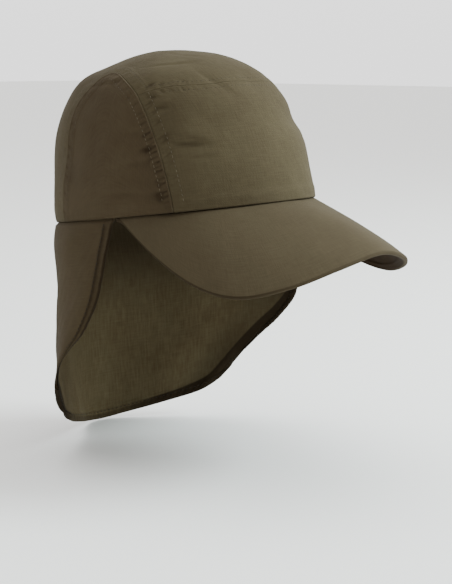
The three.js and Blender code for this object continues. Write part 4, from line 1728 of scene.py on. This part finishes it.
@dataclass
class Studio:
    """Pale floor, soft lights and the camera."""

    floor_height: float = -176.5 * MM
    azimuth: float = -48.386
    elevation: float = 6.124
    distance: float = 1026.1 * MM
    turned_right: float = 0.0297869  # from the cap's origin, in radians, as are the next two
    turned_up: float = -0.0590526
    roll: float = 0.00460176
    sensor: float = 36.0
    focal: float = 1398.8 / 584  # focal length as a share of the sensor's side
    near_light: float = 0.325  # strength of the surround on the camera's side
    far_light: float = 2.4  # and behind the cap
    floor_half: float = 12.0
    aim: tuple[float, float, float] = (0.0, 0.0, 0.02)  # the point that the key light faces

    @staticmethod
    def put(name: str, data: bpy.types.ID, matrix: Matrix) -> bpy.types.Object:
        """Sets a camera or a light in the scene.

        Args:
            name: Its name.
            data: The camera or light.
            matrix: Its place and turn.

        Returns:
            Its object.
        """
        made = bpy.data.objects.new(name, data)
        bpy.context.scene.collection.objects.link(made)
        made.matrix_world = matrix
        return made

    def camera(self) -> None:
        """Places the camera by azimuth, elevation and distance, then turns it to frame the cap."""
        a, e = math.radians(self.azimuth), math.radians(self.elevation)
        right = Vector((math.cos(a), math.sin(a), 0))
        back = Vector((math.sin(a) * math.cos(e), -math.cos(a) * math.cos(e), math.sin(e)))
        up = back.cross(right)
        ahead = (-back + math.tan(self.turned_right) * right + math.tan(self.turned_up) * up).normalized()
        level = ahead.cross(Vector((0, 0, 1))).normalized()
        upright = level.cross(ahead)
        x = level * math.cos(self.roll) + upright * math.sin(self.roll)
        y = upright * math.cos(self.roll) - level * math.sin(self.roll)
        data = bpy.data.cameras.new("camera")
        data.sensor_width = self.sensor
        data.sensor_fit = "AUTO"
        data.lens = self.focal * self.sensor
        data.clip_end = 50
        turn = Matrix((x, y, -ahead)).transposed().to_4x4()
        place = Matrix.Translation(back * self.distance)
        bpy.context.scene.camera = self.put("camera", data, place @ turn)

    def floor(self) -> None:
        """A wide floor sheet."""
        corners = np.array([[-1, -1], [1, -1], [1, 1], [-1, 1]]) * self.floor_half
        points = np.column_stack([corners, np.full(4, self.floor_height)])
        made = mesh_object("floor", points, np.arange(4), np.array([4]), None, {})
        made.data.materials.append(FloorFinish().build())

    def surround(self) -> None:
        """White surround that is brighter on the far side of the cap, as a lit backdrop is."""
        world = bpy.data.worlds.new("studio_world")
        bpy.context.scene.world = world
        g = Graph(world)
        way = g.node("ShaderNodeTexCoord", {}, {}, "Generated")
        a = math.radians(self.azimuth)
        axes = (-math.sin(a), math.cos(a), 0.0), (0.0, 0.0, 1.0)
        dot = {"operation": "DOT_PRODUCT"}
        far, above = (g.node("ShaderNodeVectorMath", dot, {0: way, 1: axis}, "Value") for axis in axes)
        colour = g.mix(far.between(-0.5, 0.6), olive(1.0, 0.83, 0.74), olive(1.0, 1.0, 1.0))
        strength = self.near_light + (self.far_light - self.near_light) * far.between(-0.3, 0.9)
        g.feed(g.shader, {"Color": colour, "Strength": strength * (0.8 + 0.2 * above.between(0.0, 0.2))})

    def light(
        self, name: str, place: Sequence[float], power: float, size: float, colour: Sequence[float]
    ) -> None:
        """A square soft light aimed at the cap.

        Args:
            name: Its name.
            place: Where it stands.
            power: Its power in watts.
            size: Its side.
            colour: Its colour.
        """
        data = bpy.data.lights.new(name, "AREA")
        data.energy = power
        data.size = size
        data.color = colour
        turn = (Vector(self.aim) - Vector(place)).to_track_quat("-Z", "Y").to_matrix().to_4x4()
        self.put(name, data, Matrix.Translation(Vector(place)) @ turn)

    def overhead(self, strength: float, colour: Sequence[float]) -> None:
        """A very soft light straight down, as from a white ceiling.

        Args:
            strength: Its strength.
            colour: Its colour.
        """
        data = bpy.data.lights.new("ceiling", "SUN")
        data.energy = strength
        data.angle = 1.3
        data.color = colour
        self.put("ceiling", data, Matrix())

    def build(self) -> None:
        """Sets up the whole studio."""
        self.surround()
        self.floor()
        self.light("key", (1.1, -1.2, 1.16), 74, 0.9, (0.86, 0.97, 0.96))
        self.overhead(2.1, (0.94, 1.0, 0.96))
        self.camera()


# Finishes and the pieces in turn


CROWN_FINISH = ClothFinish(
    "crown_weave",
    base=olive(0.064, 0.05, 0.0275),
    pale=olive(0.097, 0.084, 0.049),
    deep=olive(0.034, 0.024, 0.013),
    worn=olive(0.104, 0.088, 0.054),
    shadow=olive(0.024, 0.016, 0.008),
)
# a darker copy of the crown's cloth for the side panels: painted shade
SHADED_SIDE_FINISH = ClothFinish(
    "side_weave_painted_shade",
    base=olive(0.056, 0.0405, 0.0225),
    pale=olive(0.085, 0.068, 0.0395),
    deep=olive(0.03, 0.0195, 0.0105),
    worn=olive(0.102, 0.085, 0.052),
    shadow=olive(0.022, 0.0135, 0.0065),
)
PEAK_FINISH = ClothFinish(
    "peak_weave",
    base=olive(0.064, 0.05, 0.029),
    pale=olive(0.086, 0.071, 0.043),
    deep=olive(0.042, 0.031, 0.017),
    worn=olive(0.094, 0.077, 0.047),
    shadow=olive(0.026, 0.018, 0.009),
    # the underside's colours, much darker than the upper face
    inner_face_colours=(olive(0.014, 0.0066, 0.0015), olive(0.022, 0.0115, 0.003)),
    weave=0.15,
    slub=0.6,
    patch=0.5,
    relief=0.0001,
)
# the crown's cloth, darker on the outer face as painted shade, with inner face colours lighter than the outer
# face as painted light
FLAP_FINISH = ClothFinish(
    "flap_weave",
    base=olive(0.05, 0.0362, 0.0188),
    pale=olive(0.076, 0.0595, 0.033),
    deep=olive(0.029, 0.02, 0.011),
    worn=olive(0.078, 0.062, 0.036),
    shadow=olive(0.012, 0.0068, 0.003),
    inner_face_colours=(olive(0.066, 0.046, 0.022), olive(0.108, 0.09, 0.05)),
)
THREAD = ThreadFinish("sewing_thread", olive(0.135, 0.116, 0.076), olive(0.06, 0.047, 0.028))
MATCHING_THREAD = ThreadFinish("matching_thread", olive(0.058, 0.045, 0.026), olive(0.036, 0.026, 0.014))
DARK_THREAD = ThreadFinish("hem_thread", olive(0.014, 0.0095, 0.0045), olive(0.009, 0.006, 0.003))


def offset_path(line: SeamLine, distance: float, away: Array) -> Array:
    """A row that runs beside a seam.

    Args:
        line: The seam.
        distance: How far from it.
        away: A point in space on the row's side of the seam.

    Returns:
        The row's points.
    """
    beside = unit(np.cross(line.normals, line.way))
    middle = len(line.points) // 2
    if (away - line.points[middle]) @ beside[middle] < 0:
        beside = -beside
    return line.points + beside * distance


Row = tuple[Array, BVHTree, int]


def sew(
    name: str, thread: bpy.types.Material, rows: Sequence[Row], fine: bool
) -> bpy.types.Object:
    """Lays rows of stitches and joins them into one dressed piece.

    Args:
        name: The piece's name.
        thread: Its material.
        rows: Path, search tree of the cloth and seed of each row.
        fine: Whether the thread is the finer one.

    Returns:
        The piece.
    """
    stitching = Stitching(radius=0.18 * MM) if fine else Stitching()
    for path, tree, seed in rows:
        stitching.lay(path, tree, seed)
    made = stitching.build(name)
    dress(made, thread)
    log.info("%s: %d stitches", name, len(stitching.spindles))
    return made


def build_crown(form: CrownForm) -> None:
    """Builds the panels and their stitching. The side panels take a darker copy of the crown's
    cloth, as painted shade.

    Args:
        form: The crown's form.
    """
    crown = Crown(form, Seams(form))
    cloth, shaded_side_cloth = CROWN_FINISH.build(), SHADED_SIDE_FINISH.build()
    thread, matching = THREAD.build(), MATCHING_THREAD.build()
    trees = {}
    for node, shell in crown.panels().items():
        made = shell.build()
        dress(made, shaded_side_cloth if "side" in node else cloth, [node])
        trees[node] = tree_of(made)
    front, top = trees["crown_front_panel"], trees["crown_top_panel"]
    brow = crown.lines["brow"]
    for side, sign, end in (("right", -1, 0), ("left", 1, -1)):
        line, cheek = crown.lines[side], trees["crown_side_panel_" + side]
        ear = np.array([sign * 0.09, 0.0, 0.03])
        inside = offset_path(line, crown.folded.row, ear)
        outside = offset_path(line, -crown.plain.row, ear)
        joint = int(np.argmin(np.linalg.norm(line.points - brow.points[end], axis=1)))
        low = [(inside[12:joint], cheek, 3), (outside[8 : joint - 2], front, 4)]
        high = [(inside[joint:-12], cheek, 9), (outside[joint + 2 : -8], top, 5)]
        sew("side_seam_stitches_" + side, thread, low, fine=False)
        sew("upper_seam_stitches_" + side, matching, high, fine=True)
    forehead, crest = np.array([0, -0.09, 0.05]), np.array([0, 0, 0.115])
    beside = [(forehead, front), (crest, top)]
    rows = [(offset_path(brow, crown.brow_side.row, away)[12:-12], tree, 6) for away, tree in beside]
    sew("brow_seam_stitches", matching, rows, fine=True)


def build_peak(form: CrownForm) -> None:
    """Builds the peak."""
    dress(Peak(form).shell().build(), PEAK_FINISH.build(), ["peak"])


def build_flap(form: CrownForm) -> None:
    """Args:
        form: The crown's form.
    """
    flap = NeckFlap(form)
    shell = flap.shell()
    made = shell.build()
    dress(made, FLAP_FINISH.build(), ["neck_flap"])
    tree = tree_of(made)
    path = flap.hem_path()
    normal = unit(np.stack([path[:, 0], path[:, 1] + 0.02, np.zeros(len(path))], 1))
    rows = [(path + normal * 3 * MM, tree, 7), (path - normal * 4 * MM, tree, 8)]
    stitches = sew("hem_stitches", DARK_THREAD.build(), rows, fine=False)
    grid = shell.outer
    routes = grid[flap.margin_rows], grid[-1], grid[:, grid.shape[1] // 2]
    rim, hem, spine = (lengths(route)[-1] for route in routes)


def main() -> None:
    """Builds the studio, the crown, the peak and the flap in turn."""
    logging.basicConfig(level=logging.INFO, format="%(message)s")
    form = CrownForm()
    Studio().build()
    build_crown(form)
    build_peak(form)
    build_flap(form)


if __name__ == "__main__":
    main()
